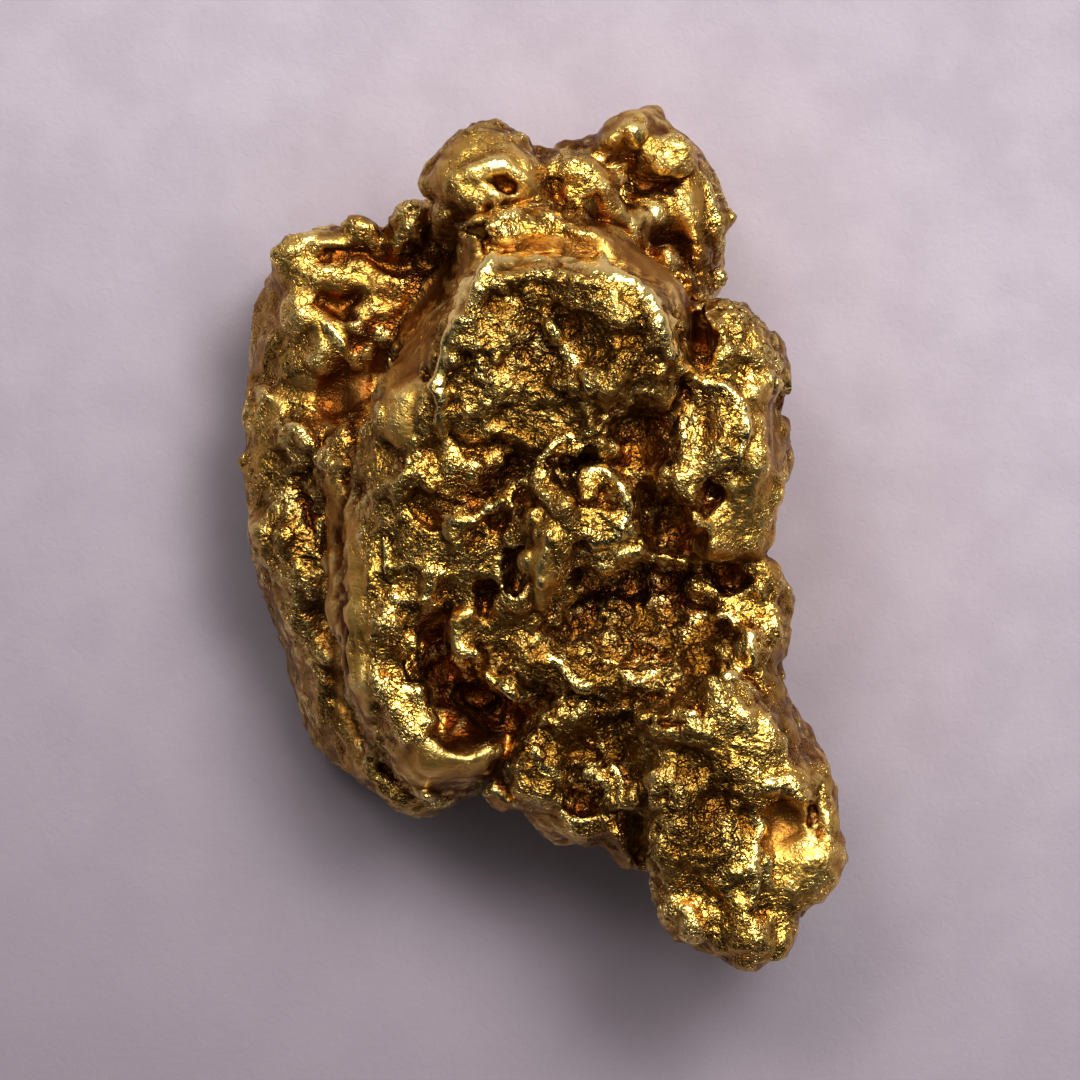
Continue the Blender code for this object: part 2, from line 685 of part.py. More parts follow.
def nugget_field():
    """The distance field on a regular grid: below 0 inside the gold. Returns (field, axes)."""
    half = (WIDTH / 2 + MARGIN, LENGTH / 2 + MARGIN)
    lows, highs = (-half[0], -half[1], -MARGIN), (half[0], half[1], HEIGHT + MARGIN)
    axes = [np.arange(lo, hi, GRID_STEP) for lo, hi in zip(lows, highs)]
    x, y, z = np.meshgrid(*axes, indexing="ij")
    warped = []
    for number, axis in enumerate((x, y, z)):
        shift = sum(w.height * smooth_noise(x, y, z, w._replace(seed=w.seed + number)) for w in WARPS)
        warped.append(axis + shift)
    warped[2] += LIFT.height * smooth_noise(x, y, z, LIFT) * np.clip(z / LIFT_FROM, 0, 1)
    crumble = CRUMBLE.height * smooth_noise(x, y, z, CRUMBLE)
    field = np.full(x.shape, FAR)
    combine(field, axes, warped, SLABS + MASSES + BELLIES, melted)
    combine(field, axes, warped, HOLLOWS, carved, crumble)
    combine(field, axes, warped, RIDGES, melted, crumble)
    combine(field, axes, warped, GROOVES, carved, crumble)
    for layer in RELIEF:
        field -= layer.height * smooth_noise(x, y, z, layer)
    for layer in KNUCKLES:
        field -= layer.height * (np.abs(smooth_noise(x, y, z, layer)) - CREASE_LEVEL)
    return field, axes


def touching(corners):
    """True if these corners of a cube are joined to each other along its edges."""
    reached = set(corners[:1])
    while True:
        more = {corner for corner in corners if any(corner ^ bit in reached for bit in (1, 2, 4))}
        if more <= reached:
            return len(reached) == len(corners)
        reached |= more


def cell_corners(values):
    """The values at the eight corners of every grid cell, as eight arrays."""
    spans = (slice(0, -1), slice(1, None))
    return [values[spans[n & 1], spans[n >> 1 & 1], spans[n >> 2]] for n in range(8)]


def settled(field):
    """Fills corners of the cells in which the surface would touch itself, until none is left."""
    plain = []
    for code in range(256):
        within = [n for n in range(8) if code >> n & 1]
        without = [n for n in range(8) if not code >> n & 1]
        plain.append(touching(within) and touching(without))
    plain = np.array(plain)
    steps = np.array([(n & 1, n >> 1 & 1, n >> 2) for n in range(8)])
    while True:
        code = sum((corner < 0) * (1 << n) for n, corner in enumerate(cell_corners(field)))
        tangled = np.argwhere(~plain[code])
        if not len(tangled):
            return field
        corners = tangled[:, None] + steps
        depths = field[tuple(corners.T)].T
        shallow = np.where(depths > 0, depths, np.inf).argmin(axis=1)
        field[tuple(corners[np.arange(len(tangled)), shallow].T)] = -TINY


def surface_net(field, axes):
    """Meshes the field's zero surface with one point in each cell that it crosses.

    Returns (points, quads), with the quads facing out.
    """
    inside = field < 0
    cells = np.array(field.shape) - 1
    sums = np.zeros((cells.prod(), 3))
    counts = np.zeros(cells.prod())
    quads = []
    for axis in range(3):
        other, third = (axis + 1) % 3, (axis + 2) % 3
        low = [slice(None)] * 3
        high = [slice(None)] * 3
        low[axis], high[axis] = slice(0, -1), slice(1, None)
        low, high = tuple(low), tuple(high)
        at = np.argwhere(inside[low] != inside[high])
        bounds = cells[[other, third]]
        at = at[((at[:, [other, third]] > 0) & (at[:, [other, third]] < bounds)).all(1)]
        before = field[low][tuple(at.T)]
        after = field[high][tuple(at.T)]
        point = at.astype(float)
        point[:, axis] += before / (before - after)
        corners = []
        for step_other, step_third in ((0, 0), (1, 0), (1, 1), (0, 1)):
            cell = at.copy()
            cell[:, other] -= step_other
            cell[:, third] -= step_third
            flat = np.ravel_multi_index(tuple(cell.T), tuple(cells))
            np.add.at(sums, flat, point)
            np.add.at(counts, flat, 1)
            corners.append(flat)
        quad = np.stack(corners, axis=1)
        quads.append(np.where((before < 0)[:, None], quad, quad[:, ::-1]))
    quads = np.concatenate(quads)
    used = np.flatnonzero(counts)
    number = np.zeros(cells.prod(), int)
    number[used] = np.arange(len(used))
    step = np.array([axis[1] - axis[0] for axis in axes])
    start = np.array([axis[0] for axis in axes])
    return sums[used] / counts[used][:, None] * step + start, number[quads]


def largest_piece(points, quads):
    """Drops every surface but the largest: sealed bubbles inside, and crumbs that came loose."""
    label = np.arange(len(points))
    while True:
        lower = label.copy()
        np.minimum.at(lower, quads, label[quads].min(axis=1)[:, None])
        lower = lower[lower]
        if (lower == label).all():
            break
        label = lower
    main_label = np.bincount(label[quads[:, 0]]).argmax()
    kept = label == main_label
    number = np.cumsum(kept) - 1
    return points[kept], number[quads[kept[quads[:, 0]]]]


def gold():
    """The nugget's material: worn, slightly satin native gold."""
    material = bpy.data.materials.new("native gold")
    material.use_nodes = True
    shader = material.node_tree.nodes["Principled BSDF"]
    shader.inputs["Base Color"].default_value = GOLD
    shader.inputs["Metallic"].default_value = 1.0
    shader.inputs["Roughness"].default_value = GOLD_ROUGHNESS
    material.diffuse_color = GOLD
    return material


def ground_cutter():
    """A block under the resting surface, which wears the feet flat."""
    bpy.ops.mesh.primitive_cube_add(size=1)
    block = bpy.context.object
    block.name = "ground_cutter"
    block.scale = (2 * WIDTH * MM, 2 * LENGTH * MM, HEIGHT * MM)
    block.location = (0, 0, -HEIGHT * MM / 2)
    block.hide_render = True
    block.display_type = "WIRE"
    return block


def nugget():
    """The nugget: the meshed field, thinned to its triangle count and worn flat underneath."""
    field, axes = nugget_field()
    points, quads = largest_piece(*surface_net(settled(field), axes))
    mesh = bpy.data.meshes.new("nugget")
    mesh.from_pydata((points * MM).tolist(), [], quads.tolist())
    mesh.materials.append(gold())
    mesh.shade_smooth()
    piece = bpy.data.objects.new("nugget", mesh)
    bpy.context.collection.objects.link(piece)
    thin = piece.modifiers.new("thin out", "DECIMATE")
    thin.ratio = TRIANGLES / (2 * len(quads))
    cut = piece.modifiers.new("wear feet flat", "BOOLEAN")
    cut.object = ground_cutter()
    cut.operation = "DIFFERENCE"
    return piece


def main():
    for old in list(bpy.data.objects):
        bpy.data.objects.remove(old)
    nugget()


main()
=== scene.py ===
"""The looks of a native gold nugget: its fine relief, its worn metal, a plain floor and the light.

Lengths in the tables are millimetres. +Y runs from the nugget's tail to its back and +Z is up, as
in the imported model. The form is one distance field: slabs and lumps that melt together, with
hollows, ridges and grooves, as in the solid that it stands for. Folds, creases, beads, pits and
grain are then raised on its mesh, and masks made from the finished shape drive the metal's shader.
"""

import logging
from collections.abc import Callable, Mapping, Sequence
from dataclasses import dataclass
from enum import Enum
from functools import cached_property
from typing import Protocol

import bpy
import numpy as np
from mathutils import Euler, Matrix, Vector
from numpy.typing import NDArray


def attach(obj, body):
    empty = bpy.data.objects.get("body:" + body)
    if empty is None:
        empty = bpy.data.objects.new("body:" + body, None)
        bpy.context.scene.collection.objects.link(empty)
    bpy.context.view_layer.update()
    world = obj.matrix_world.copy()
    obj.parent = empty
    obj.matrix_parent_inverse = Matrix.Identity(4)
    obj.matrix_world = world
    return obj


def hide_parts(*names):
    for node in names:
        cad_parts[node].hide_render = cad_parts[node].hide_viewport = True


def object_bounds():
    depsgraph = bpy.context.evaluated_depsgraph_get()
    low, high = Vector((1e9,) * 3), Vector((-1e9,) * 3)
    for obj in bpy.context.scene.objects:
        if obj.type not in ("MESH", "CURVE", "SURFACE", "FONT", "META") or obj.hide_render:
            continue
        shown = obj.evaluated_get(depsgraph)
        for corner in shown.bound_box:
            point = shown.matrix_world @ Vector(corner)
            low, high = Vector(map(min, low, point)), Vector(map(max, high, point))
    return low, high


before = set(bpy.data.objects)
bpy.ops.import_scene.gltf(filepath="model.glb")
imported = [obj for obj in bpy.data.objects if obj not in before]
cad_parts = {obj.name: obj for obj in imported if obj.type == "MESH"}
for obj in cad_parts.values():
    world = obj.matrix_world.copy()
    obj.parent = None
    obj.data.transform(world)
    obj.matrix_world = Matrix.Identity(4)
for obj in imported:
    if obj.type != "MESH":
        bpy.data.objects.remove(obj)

CAD_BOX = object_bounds()

Numbers = NDArray[np.float64]
Places = tuple[Numbers, Numbers, Numbers]
Point = tuple[float, ...]
Colour = tuple[float, float, float, float]

MM = 0.001
NODE = "nugget"
BODY = "root"

# The photograph's frame: pixels across, and how many of them a millimetre of the nugget takes.
FRAME_PIXELS = 1080
PIXELS_PER_MM = 72.2
FRAME_CENTRE = (-0.03, -0.03)

# A distance that counts as far from the surface, one that counts as none, and a guard for divisions.
FAR = 2.0
TINY = 0.001
SPECK = 1e-9

# Moves every place that noise is asked for to where lattice points are above 0.
LATTICE_START = 100

log = logging.getLogger("nugget")


def lattice(i: NDArray, j: NDArray, k: NDArray, seed: int) -> Numbers:
    """A repeatable number for each whole-number lattice point.

    Args:
        i: The points' numbers along X, and j and k likewise.
        seed: Picks the pattern.

    Returns:
        One number from -1 to 1 for each point.
    """
    whole, part = 0x7FFFFFFF, 0xFFFFFF
    mixed = i * 374761393 + j * 668265263 + k * 1274126177 + seed * 974634777
    mixed = (mixed ^ (mixed >> 13)) & whole
    mixed = (mixed * 1103515245 + 12345) & whole
    mixed = (mixed ^ (mixed >> 15)) & part
    return mixed / (part >> 1) - 1


def eased(value: Numbers, low: float, high: float) -> Numbers:
    """0 below low and 1 above high, with a soft step between. low may be the larger one."""
    share = np.clip((value - low) / (high - low), 0, 1)
    return share * share * (3 - 2 * share)


@dataclass(frozen=True)
class Noise:
    """Smooth bumps of this size and height.

    Attributes:
        size: Width of a bump.
        height: The most that it stands up or lies deep.
        seed: Picks the pattern.
    """

    size: float
    height: float
    seed: int

    def at(self, x: Numbers, y: Numbers, z: Numbers, turn: int = 0) -> Numbers:
        """The noise at each point, from about -height to height.

        Args:
            x: Where the points are along X, and y and z likewise.
            turn: Added to the seed, for patterns of one kind along several axes.

        Returns:
            One number for each point.
        """
        place = [axis / self.size + LATTICE_START for axis in (x, y, z)]
        cell = [np.floor(axis).astype(np.int64) for axis in place]
        part = [axis - whole for axis, whole in zip(place, cell)]
        ease = [t * t * t * (t * (6 * t - 15) + 10) for t in part]
        total = np.zeros(np.shape(x))
        for dx in (0, 1):
            for dy in (0, 1):
                for dz in (0, 1):
                    weight: Numbers | int = 1
                    for t, d in zip(ease, (dx, dy, dz)):
                        weight = weight * (t if d else 1 - t)
                    values = lattice(cell[0] + dx, cell[1] + dy, cell[2] + dz, self.seed + turn)
                    total = total + weight * values
        return self.height * total


@dataclass(frozen=True)
class Curls:
    """Thin crumpled ridges that wander over the surface, with rounded troughs between them.

    Attributes:
        line: The noise whose middle level the ridges follow, and its height is theirs.
        sway: The noise that bends them.
        sharp: Above 1 a ridge's sides are hollow and its crest is sharp.
        narrow: Above 1 a ridge's foot lies nearer its middle.
        sunk: Share of its height that lies below the surface.
    """

    line: Noise
    sway: Noise
    sharp: float = 2.0
    narrow: float = 1.6
    sunk: float = 0.3

    def at(self, x: Numbers, y: Numbers, z: Numbers) -> Numbers:
        """The relief at each point, about half above 0 and half below.

        Args:
            x: Where the points are along X, and y and z likewise.

        Returns:
            One height for each point.
        """
        bent = [axis + self.sway.at(x, y, z, n) for n, axis in enumerate((x, y, z))]
        level = np.abs(self.line.at(*bent)) / self.line.height
        return self.line.height * (np.clip(1 - level * self.narrow, 0, 1) ** self.sharp - self.sunk)


@dataclass(frozen=True)
class Grains:
    """Rounded grains of gold, grown side by side with creases between them.

    Attributes:
        size: Distance between grains.
        height: How far their tops stand above the creases.
        seed: Picks the pattern.
        hollow: Share of the grains that are sunken pits.
        dome: Squared distance from a grain's middle at which the surface is level, in grain sizes.
        deepest: The lowest that a crease lies, as a share of the height.
    """

    size: float
    height: float
    seed: int
    hollow: float = 0.0
    dome: float = 0.55
    deepest: float = -0.6

    def at(self, points: Numbers) -> Numbers:
        """The relief at each point, about half above 0 and half below.

        Args:
            points: Points, one to a row.

        Returns:
            One height for each point.
        """
        place = points / self.size + LATTICE_START
        cell = np.floor(place).astype(np.int64)
        nearest = np.full(len(points), np.inf)
        sign = np.ones(len(points))
        for step in np.ndindex(3, 3, 3):
            near = cell + np.subtract(step, 1)
            spots = [lattice(*near.T, self.seed + n) * 0.5 + 0.5 for n in range(3)]
            gap = sum((near[:, n] + spots[n] - place[:, n]) ** 2 for n in range(3))
            closer = gap < nearest
            sunk = lattice(*near.T, self.seed + 3) * 0.5 + 0.5 < self.hollow
            sign = np.where(closer, np.where(sunk, -1.0, 1.0), sign)
            nearest = np.where(closer, gap, nearest)
        rise = np.clip(self.dome - nearest, self.deepest, None)
        return self.height * rise * np.where(rise > 0, sign, 1)


def melted(a: Numbers, b: Numbers, width: float) -> Numbers:
    """The union of two distance fields, with a fillet of this width between them."""
    near = np.clip(width - np.abs(a - b), 0, None) / width
    return np.minimum(a, b) - near * near * width / 4


def carved(a: Numbers, b: Numbers, width: float) -> Numbers:
    """Field a with field b cut from it, and the edge rounded over this width."""
    return -melted(-a, b, width)


def rounded(shares: Sequence[Numbers], halves: Sequence[Numbers | float], power: float) -> Numbers:
    """Distance to a rounded solid, from each axis' share of its half width there.

    Args:
        shares: How far out each point is along each axis, with 1 at the solid's face.
        halves: The solid's half widths.
        power: 2 for an ellipsoid, and more for a solid that fills out its corners.

    Returns:
        One distance for each point.
    """
    total = sum(share**power for share in shares) + SPECK
    reach = total ** (1 / power)
    slopes = [(share / reach) ** (power - 1) / half for share, half in zip(shares, halves)]
    return (reach - 1) / np.sqrt(sum(slope * slope for slope in slopes) + SPECK)


class Feature(Protocol):
    """A form in the distance field."""

    melt: float

    def distance(self, x: Numbers, y: Numbers, z: Numbers) -> Numbers:
        """Distance to its surface, below 0 inside, close to true near the surface."""

    def box(self) -> tuple[Numbers, Numbers]:
        """The lowest and highest corner that it fills."""


@dataclass(frozen=True)
class Slab:
    """A thick plate of gold with an outline seen from above and rounded edges.

    Attributes:
        name: What it is on the nugget.
        outline: A closed chain of (x, y) points at its widest level, half way up.
        low: Height of its underside.
        high: Height of its top.
        edge: How far in from the outline its top is reached.
        rise: Tilt of its top for each millimetre along x and y from its middle.
        lift: Tilt of its underside, likewise.
        square: Above 2 it fills out its rounded edge.
        melt: The width over which it blends into what it meets.
        tilt_room: How far its tilted top and underside may pass high and low.
    """

    name: str
    outline: tuple[Point, ...]
    low: float
    high: float
    edge: float
    rise: Point = (0.0, 0.0)
    lift: Point = (0.0, 0.0)
    square: float = 2.3
    melt: float = 0.15
    tilt_room: float = 1.0

    def outline_distance(self, x: Numbers, y: Numbers) -> Numbers:
        """Distance in plan to the outline, below 0 inside it.

        Args:
            x: Where the points are along X, and y likewise.

        Returns:
            One distance for each point.
        """
        nearest = np.full(x.shape, FAR * FAR)
        inside = np.zeros(x.shape, bool)
        for start, end in zip(self.outline, self.outline[1:] + self.outline[:1]):
            run = np.subtract(end, start)
            across, up = x - start[0], y - start[1]
            share = np.clip((across * run[0] + up * run[1]) / run.dot(run), 0, 1)
            nearest = np.minimum(nearest, (across - share * run[0]) ** 2 + (up - share * run[1]) ** 2)
            if run[1]:
                crosses = (y >= min(start[1], end[1])) & (y < max(start[1], end[1]))
                inside ^= crosses & (across < up * run[0] / run[1])
        return np.where(inside, -1, 1) * np.sqrt(nearest)

    def distance(self, x: Numbers, y: Numbers, z: Numbers) -> Numbers:
        """Distance to the slab's surface.

        Args:
            x: Where the points are along X, and y and z likewise.

        Returns:
            One distance for each point, below 0 inside.
        """
        middle = np.mean(self.outline, axis=0)
        top = self.high + self.rise[0] * (x - middle[0]) + self.rise[1] * (y - middle[1])
        bottom = self.low + self.lift[0] * (x - middle[0]) + self.lift[1] * (y - middle[1])
        half = (top - bottom) / 2
        across = np.clip(self.outline_distance(x, y) / self.edge + 1, 0, None)
        return rounded((across, np.abs(z - bottom - half) / half), (self.edge, half), self.square)

    def box(self) -> tuple[Numbers, Numbers]:
        """The lowest and highest corner of the slab, with room for its tilt.

        Returns:
            Both corners.
        """
        plan = np.array(self.outline)
        low, high = self.low - self.tilt_room, self.high + self.tilt_room
        return np.array([*plan.min(0), low]), np.array([*plan.max(0), high])


@dataclass(frozen=True)
class Lump:
    """An ellipsoid of gold, or of empty space where it is a hollow.

    Attributes:
        name: What it is on the nugget.
        at: Its middle.
        size: Its half widths.
        turn: Degrees that it is turned about Z.
        square: Above 2 it fills out its corners.
        melt: The width over which it blends into what it meets.
    """

    name: str
    at: Point
    size: Point
    turn: float = 0.0
    square: float = 2.0
    melt: float = 0.25

    def distance(self, x: Numbers, y: Numbers, z: Numbers) -> Numbers:
        """Distance to the lump's surface.

        Args:
            x: Where the points are along X, and y and z likewise.

        Returns:
            One distance for each point, below 0 inside.
        """
        turn = np.radians(self.turn)
        x, y, z = x - self.at[0], y - self.at[1], z - self.at[2]
        x, y = x * np.cos(turn) + y * np.sin(turn), y * np.cos(turn) - x * np.sin(turn)
        shares = [np.abs(axis) / half for axis, half in zip((x, y, z), self.size)]
        return rounded(shares, self.size, self.square)

    def box(self) -> tuple[Numbers, Numbers]:
        """The lowest and highest corner of the lump, whichever way it is turned."""
        return np.subtract(self.at, max(self.size)), np.add(self.at, max(self.size))


@dataclass(frozen=True)
class Ridge:
    """A rounded ridge, or a groove.

    Attributes:
        name: What it is on the nugget.
        points: The line that it follows, as (x, y, z, radius).
        melt: The width over which it blends into what it meets.
    """

    name: str
    points: tuple[Point, ...]
    melt: float = 0.12

    def distance(self, x: Numbers, y: Numbers, z: Numbers) -> Numbers:
        """Distance to a chain of round-ended cones along the ridge's points.

        Args:
            x: Where the points are along X, and y and z likewise.

        Returns:
            One distance for each point, below 0 inside.
        """
        nearest: Numbers | float = FAR
        for start, end in zip(self.points, self.points[1:]):
            along = np.subtract(end[:3], start[:3])
            offsets = (x - start[0], y - start[1], z - start[2])
            share = np.clip(sum(o * a for o, a in zip(offsets, along)) / along.dot(along), 0, 1)
            gap = np.sqrt(sum((o - share * a) ** 2 for o, a in zip(offsets, along)))
            nearest = np.minimum(nearest, gap - (start[3] + share * (end[3] - start[3])))
        return nearest

    def box(self) -> tuple[Numbers, Numbers]:
        """The lowest and highest corner of the ridge.

        Returns:
            Both corners.
        """
        points = np.array(self.points)
        radius = points[:, 3].max()
        return points[:, :3].min(0) - radius, points[:, :3].max(0) + radius


SLABS = (
    Slab("left lobe", (
        (-2.1, 4.35), (-2.77, 4.42), (-3.2, 4.3), (-3.55, 3.95), (-3.8, 3.35), (-3.97, 2.67),
        (-3.94, 1.95), (-3.3, 1.65), (-1.8, 1.8), (-1.5, 3.3), (-1.7, 4.2),
    ), low=0.35, high=2.75, edge=0.8, rise=(0.25, 0.1)),
    Slab("flank", (
        (-3.99, 2.1), (-4.1, 1.4), (-4.12, 0.8), (-4.03, 0.0), (-3.85, -0.95), (-3.66, -1.65),
        (-3.3, -2.45), (-2.94, -3.02), (-2.5, -3.5), (-2.05, -3.82), (-1.66, -3.87), (-1.3, -3.75),
        (-0.85, -3.5), (-0.7, -2.6), (-2.2, -1.2), (-2.4, 0.4), (-2.4, 2.1),
    ), low=0.45, high=2.35, edge=0.65, rise=(0.2, 0.12)),
    Slab("back lobe", (
        (0.0, 5.15), (0.4, 5.42), (0.78, 5.52), (0.98, 5.8), (1.22, 6.02), (1.55, 5.98), (1.9, 5.69),
        (2.2, 5.36), (2.36, 4.93), (2.5, 4.6), (2.56, 4.1), (2.54, 3.5), (2.3, 3.1), (1.2, 3.2),
        (0.2, 4.2),
    ), low=0.6, high=3.05, edge=0.55, rise=(0.05, -0.1)),
    Slab("shoulder", (
        (2.06, 3.2), (2.52, 3.28), (2.8, 3.1), (3.1, 2.8), (3.32, 2.45), (3.35, 2.1), (3.24, 1.7),
        (3.34, 1.25), (3.36, 0.85), (3.22, 0.5), (3.07, 0.21), (2.98, -0.15), (2.2, -0.4), (1.5, 0.3),
        (1.5, 1.6), (1.9, 2.4),
    ), low=1.9, high=4.45, edge=0.5, rise=(-0.12, 0.0), square=2.4),
    Slab("bridge", (
        (-1.2, 4.3), (-0.6, 4.55), (-0.03, 4.55), (0.54, 4.42), (0.98, 4.2), (1.3, 3.86), (1.68, 3.57),
        (1.95, 3.32), (2.05, 3.0), (1.7, 2.4), (-0.6, 2.6), (-1.3, 3.5),
    ), low=1.4, high=4.45, edge=0.32, rise=(-0.12, 0.0), square=2.6, melt=0.1),
    Slab("limb", (
        (-2.3, 2.25), (-2.45, 1.6), (-2.52, 0.9), (-2.8, 0.25), (-2.93, -0.4), (-2.94, -1.25),
        (-2.78, -2.1), (-2.4, -2.88), (-1.95, -3.42), (-1.6, -3.58), (-1.0, -3.46), (-0.6, -3.25),
        (-0.35, -2.7), (-0.5, -1.6), (-0.9, -0.2), (-0.9, 1.6), (-1.2, 2.2),
    ), low=1.3, high=3.95, edge=0.75, rise=(0.06, 0.15), square=2.3, melt=0.12),
    Slab("crown skirt", (
        (-0.8, 3.9), (0.0, 3.95), (0.75, 3.88), (1.35, 3.64), (1.8, 3.32), (2.0, 2.9), (2.02, 2.3),
        (1.75, 1.3), (0.2, 0.5), (-1.5, 0.3), (-2.25, 0.6), (-2.36, 1.6), (-2.3, 2.15), (-1.97, 2.5),
        (-1.65, 3.13), (-1.24, 3.56),
    ), low=2.0, high=4.85, edge=0.7, rise=(0.0, 0.12), square=2.0, melt=0.35),
    Slab("crown", (
        (-0.85, 3.84), (0.0, 3.9), (0.8, 3.84), (1.4, 3.58), (1.78, 3.22), (1.92, 2.8), (2.0, 2.2),
        (1.75, 1.5), (1.1, 1.0), (0.2, 0.9), (-0.9, 1.15), (-1.45, 1.45), (-1.62, 1.9), (-1.58, 2.5),
        (-1.45, 3.05), (-1.15, 3.48),
    ), low=2.8, high=5.2, edge=0.4, rise=(0.0, 0.16), square=2.6, melt=0.14),
    Slab("basin side", (
        (2.95, -0.1), (3.2, -0.42), (3.37, -0.75), (3.39, -1.15), (3.32, -1.75), (3.28, -2.3),
        (2.4, -2.8), (0.4, -2.6), (-0.2, -1.8), (0.0, 0.3), (1.6, 0.5),
    ), low=1.3, high=3.65, edge=0.42, melt=0.1),
    Slab("shelf", (
        (-0.8, -3.5), (-0.6, -3.74), (-0.25, -3.8), (-0.05, -3.92), (0.12, -4.14), (0.35, -4.22),
        (0.73, -4.24), (1.02, -4.48), (1.3, -4.68), (1.6, -4.85), (2.2, -3.6), (1.6, -2.2),
        (0.2, -2.0), (-0.55, -2.6),
    ), low=1.7, high=3.45, edge=0.45, rise=(0.05, 0.25), square=2.5, melt=0.08),
    Slab("tail", (
        (1.5, -4.75), (1.7, -5.0), (2.3, -5.2), (3.0, -5.2), (3.45, -5.12), (3.75, -5.03),
        (4.02, -4.77), (4.13, -4.38), (4.02, -3.9), (3.95, -3.35), (3.83, -3.05), (3.57, -2.57),
        (3.3, -2.1), (2.2, -1.7), (1.0, -2.4), (1.3, -3.5),
    ), low=1.4, high=4.05, edge=0.6, rise=(-0.05, 0.17), lift=(0.1, -0.3), square=2.3, melt=0.15),
    Slab("tail tip", (
        (1.52, -4.6), (1.6, -5.2), (1.98, -5.56), (2.5, -5.88), (2.87, -5.98), (3.2, -5.92),
        (3.36, -5.7), (3.5, -5.2), (3.6, -4.6), (3.1, -3.9), (2.0, -3.9),
    ), low=1.7, high=3.8, edge=0.95, lift=(0.1, -0.3), square=2.1, melt=0.2),
)

MASSES = (
    Lump("heart", (-0.2, 0.5, 2.2), (2.9, 3.0, 2.0), square=2.4),
    Lump("back mass", (0.1, 3.3, 2.0), (2.0, 1.5, 1.6)),
    Lump("front mass", (1.1, -1.7, 2.0), (2.0, 1.5, 1.5), square=2.3),
    Lump("crown ear", (-2.12, 2.0, 3.55), (0.32, 0.42, 0.6), melt=0.1),
    Lump("crown brow", (0.55, 2.1, 4.5), (0.8, 0.7, 0.85), melt=0.2),
    Lump("nose", (0.4, 0.35, 3.9), (0.95, 0.6, 0.75), melt=0.2),
    Lump("top knob", (-0.73, 4.85, 3.2), (0.78, 0.72, 1.1), melt=0.1),
    Lump("knob cheek", (-1.2, 4.35, 3.35), (0.38, 0.35, 0.6), melt=0.1),
    Lump("knob root", (-0.8, 4.2, 2.2), (0.9, 0.8, 1.1)),
    Lump("connector", (-1.8, 4.3, 2.6), (0.4, 0.36, 0.5), melt=0.12),
    Lump("back bump", (1.45, 4.35, 2.85), (0.36, 0.3, 0.35), melt=0.1),
    Lump("back bump right", (1.75, 5.15, 2.95), (0.4, 0.35, 0.3), melt=0.1),
    Lump("back bump top", (1.25, 5.55, 2.75), (0.3, 0.4, 0.35), melt=0.1),
    Lump("left lobe bump", (-3.35, 2.95, 2.35), (0.34, 0.36, 0.35), melt=0.3),
    Lump("flank bump", (-3.3, 1.25, 2.4), (0.38, 0.4, 0.35), melt=0.12),
    Lump("flank bump low", (-3.35, 0.1, 2.15), (0.3, 0.35, 0.3), melt=0.1),
    Lump("shoulder step", (2.45, 1.45, 4.1), (0.5, 0.75, 0.5), turn=-10, melt=0.1),
    Lump("tail bulge", (2.75, -3.35, 3.85), (0.5, 0.4, 0.35), melt=0.12),
    Lump("tail bright bump", (3.15, -3.3, 3.95), (0.2, 0.16, 0.2), melt=0.08),
    Lump("tail heap", (2.0, -3.9, 3.75), (0.5, 0.6, 0.4), melt=0.12),
    Lump("tip left", (2.05, -5.05, 3.2), (0.5, 0.45, 0.6), melt=0.1),
    Lump("right base", (2.2, 1.3, 1.6), (0.95, 1.7, 1.3), turn=8, melt=0.2),
    Lump("right base knuckle", (2.85, 0.2, 1.75), (0.45, 0.6, 0.6), melt=0.12),
    Lump("right base bump", (2.75, 2.5, 1.5), (0.5, 0.55, 0.55), melt=0.12),
    Lump("basin base", (2.3, -1.2, 1.6), (0.95, 1.0, 0.8), melt=0.2),
    Lump("tail keel", (2.2, -3.3, 1.9), (0.7, 1.3, 0.8), turn=25, melt=0.3),
    Lump("tail throat", (1.2, -2.9, 1.7), (0.8, 0.7, 0.7), melt=0.3),
    Lump("back keel", (0.4, 4.75, 1.7), (0.75, 0.55, 0.9), melt=0.2),
    Lump("knob keel", (-1.1, 4.35, 1.4), (0.6, 0.5, 0.7), melt=0.2),
)

BELLIES = (
    Lump("belly under left lobe", (-2.6, 2.4, 0.85), (1.3, 1.6, 0.98), melt=0.5),
    Lump("belly under back", (1.0, 4.0, 0.85), (1.35, 1.35, 1.0), turn=20, melt=0.5),
    Lump("belly under flank", (-1.9, -1.9, 0.85), (1.5, 1.5, 0.98), turn=30, melt=0.5),
    Lump("belly under front", (1.8, -1.1, 0.8), (1.3, 1.5, 1.0), turn=-15, melt=0.5),
)

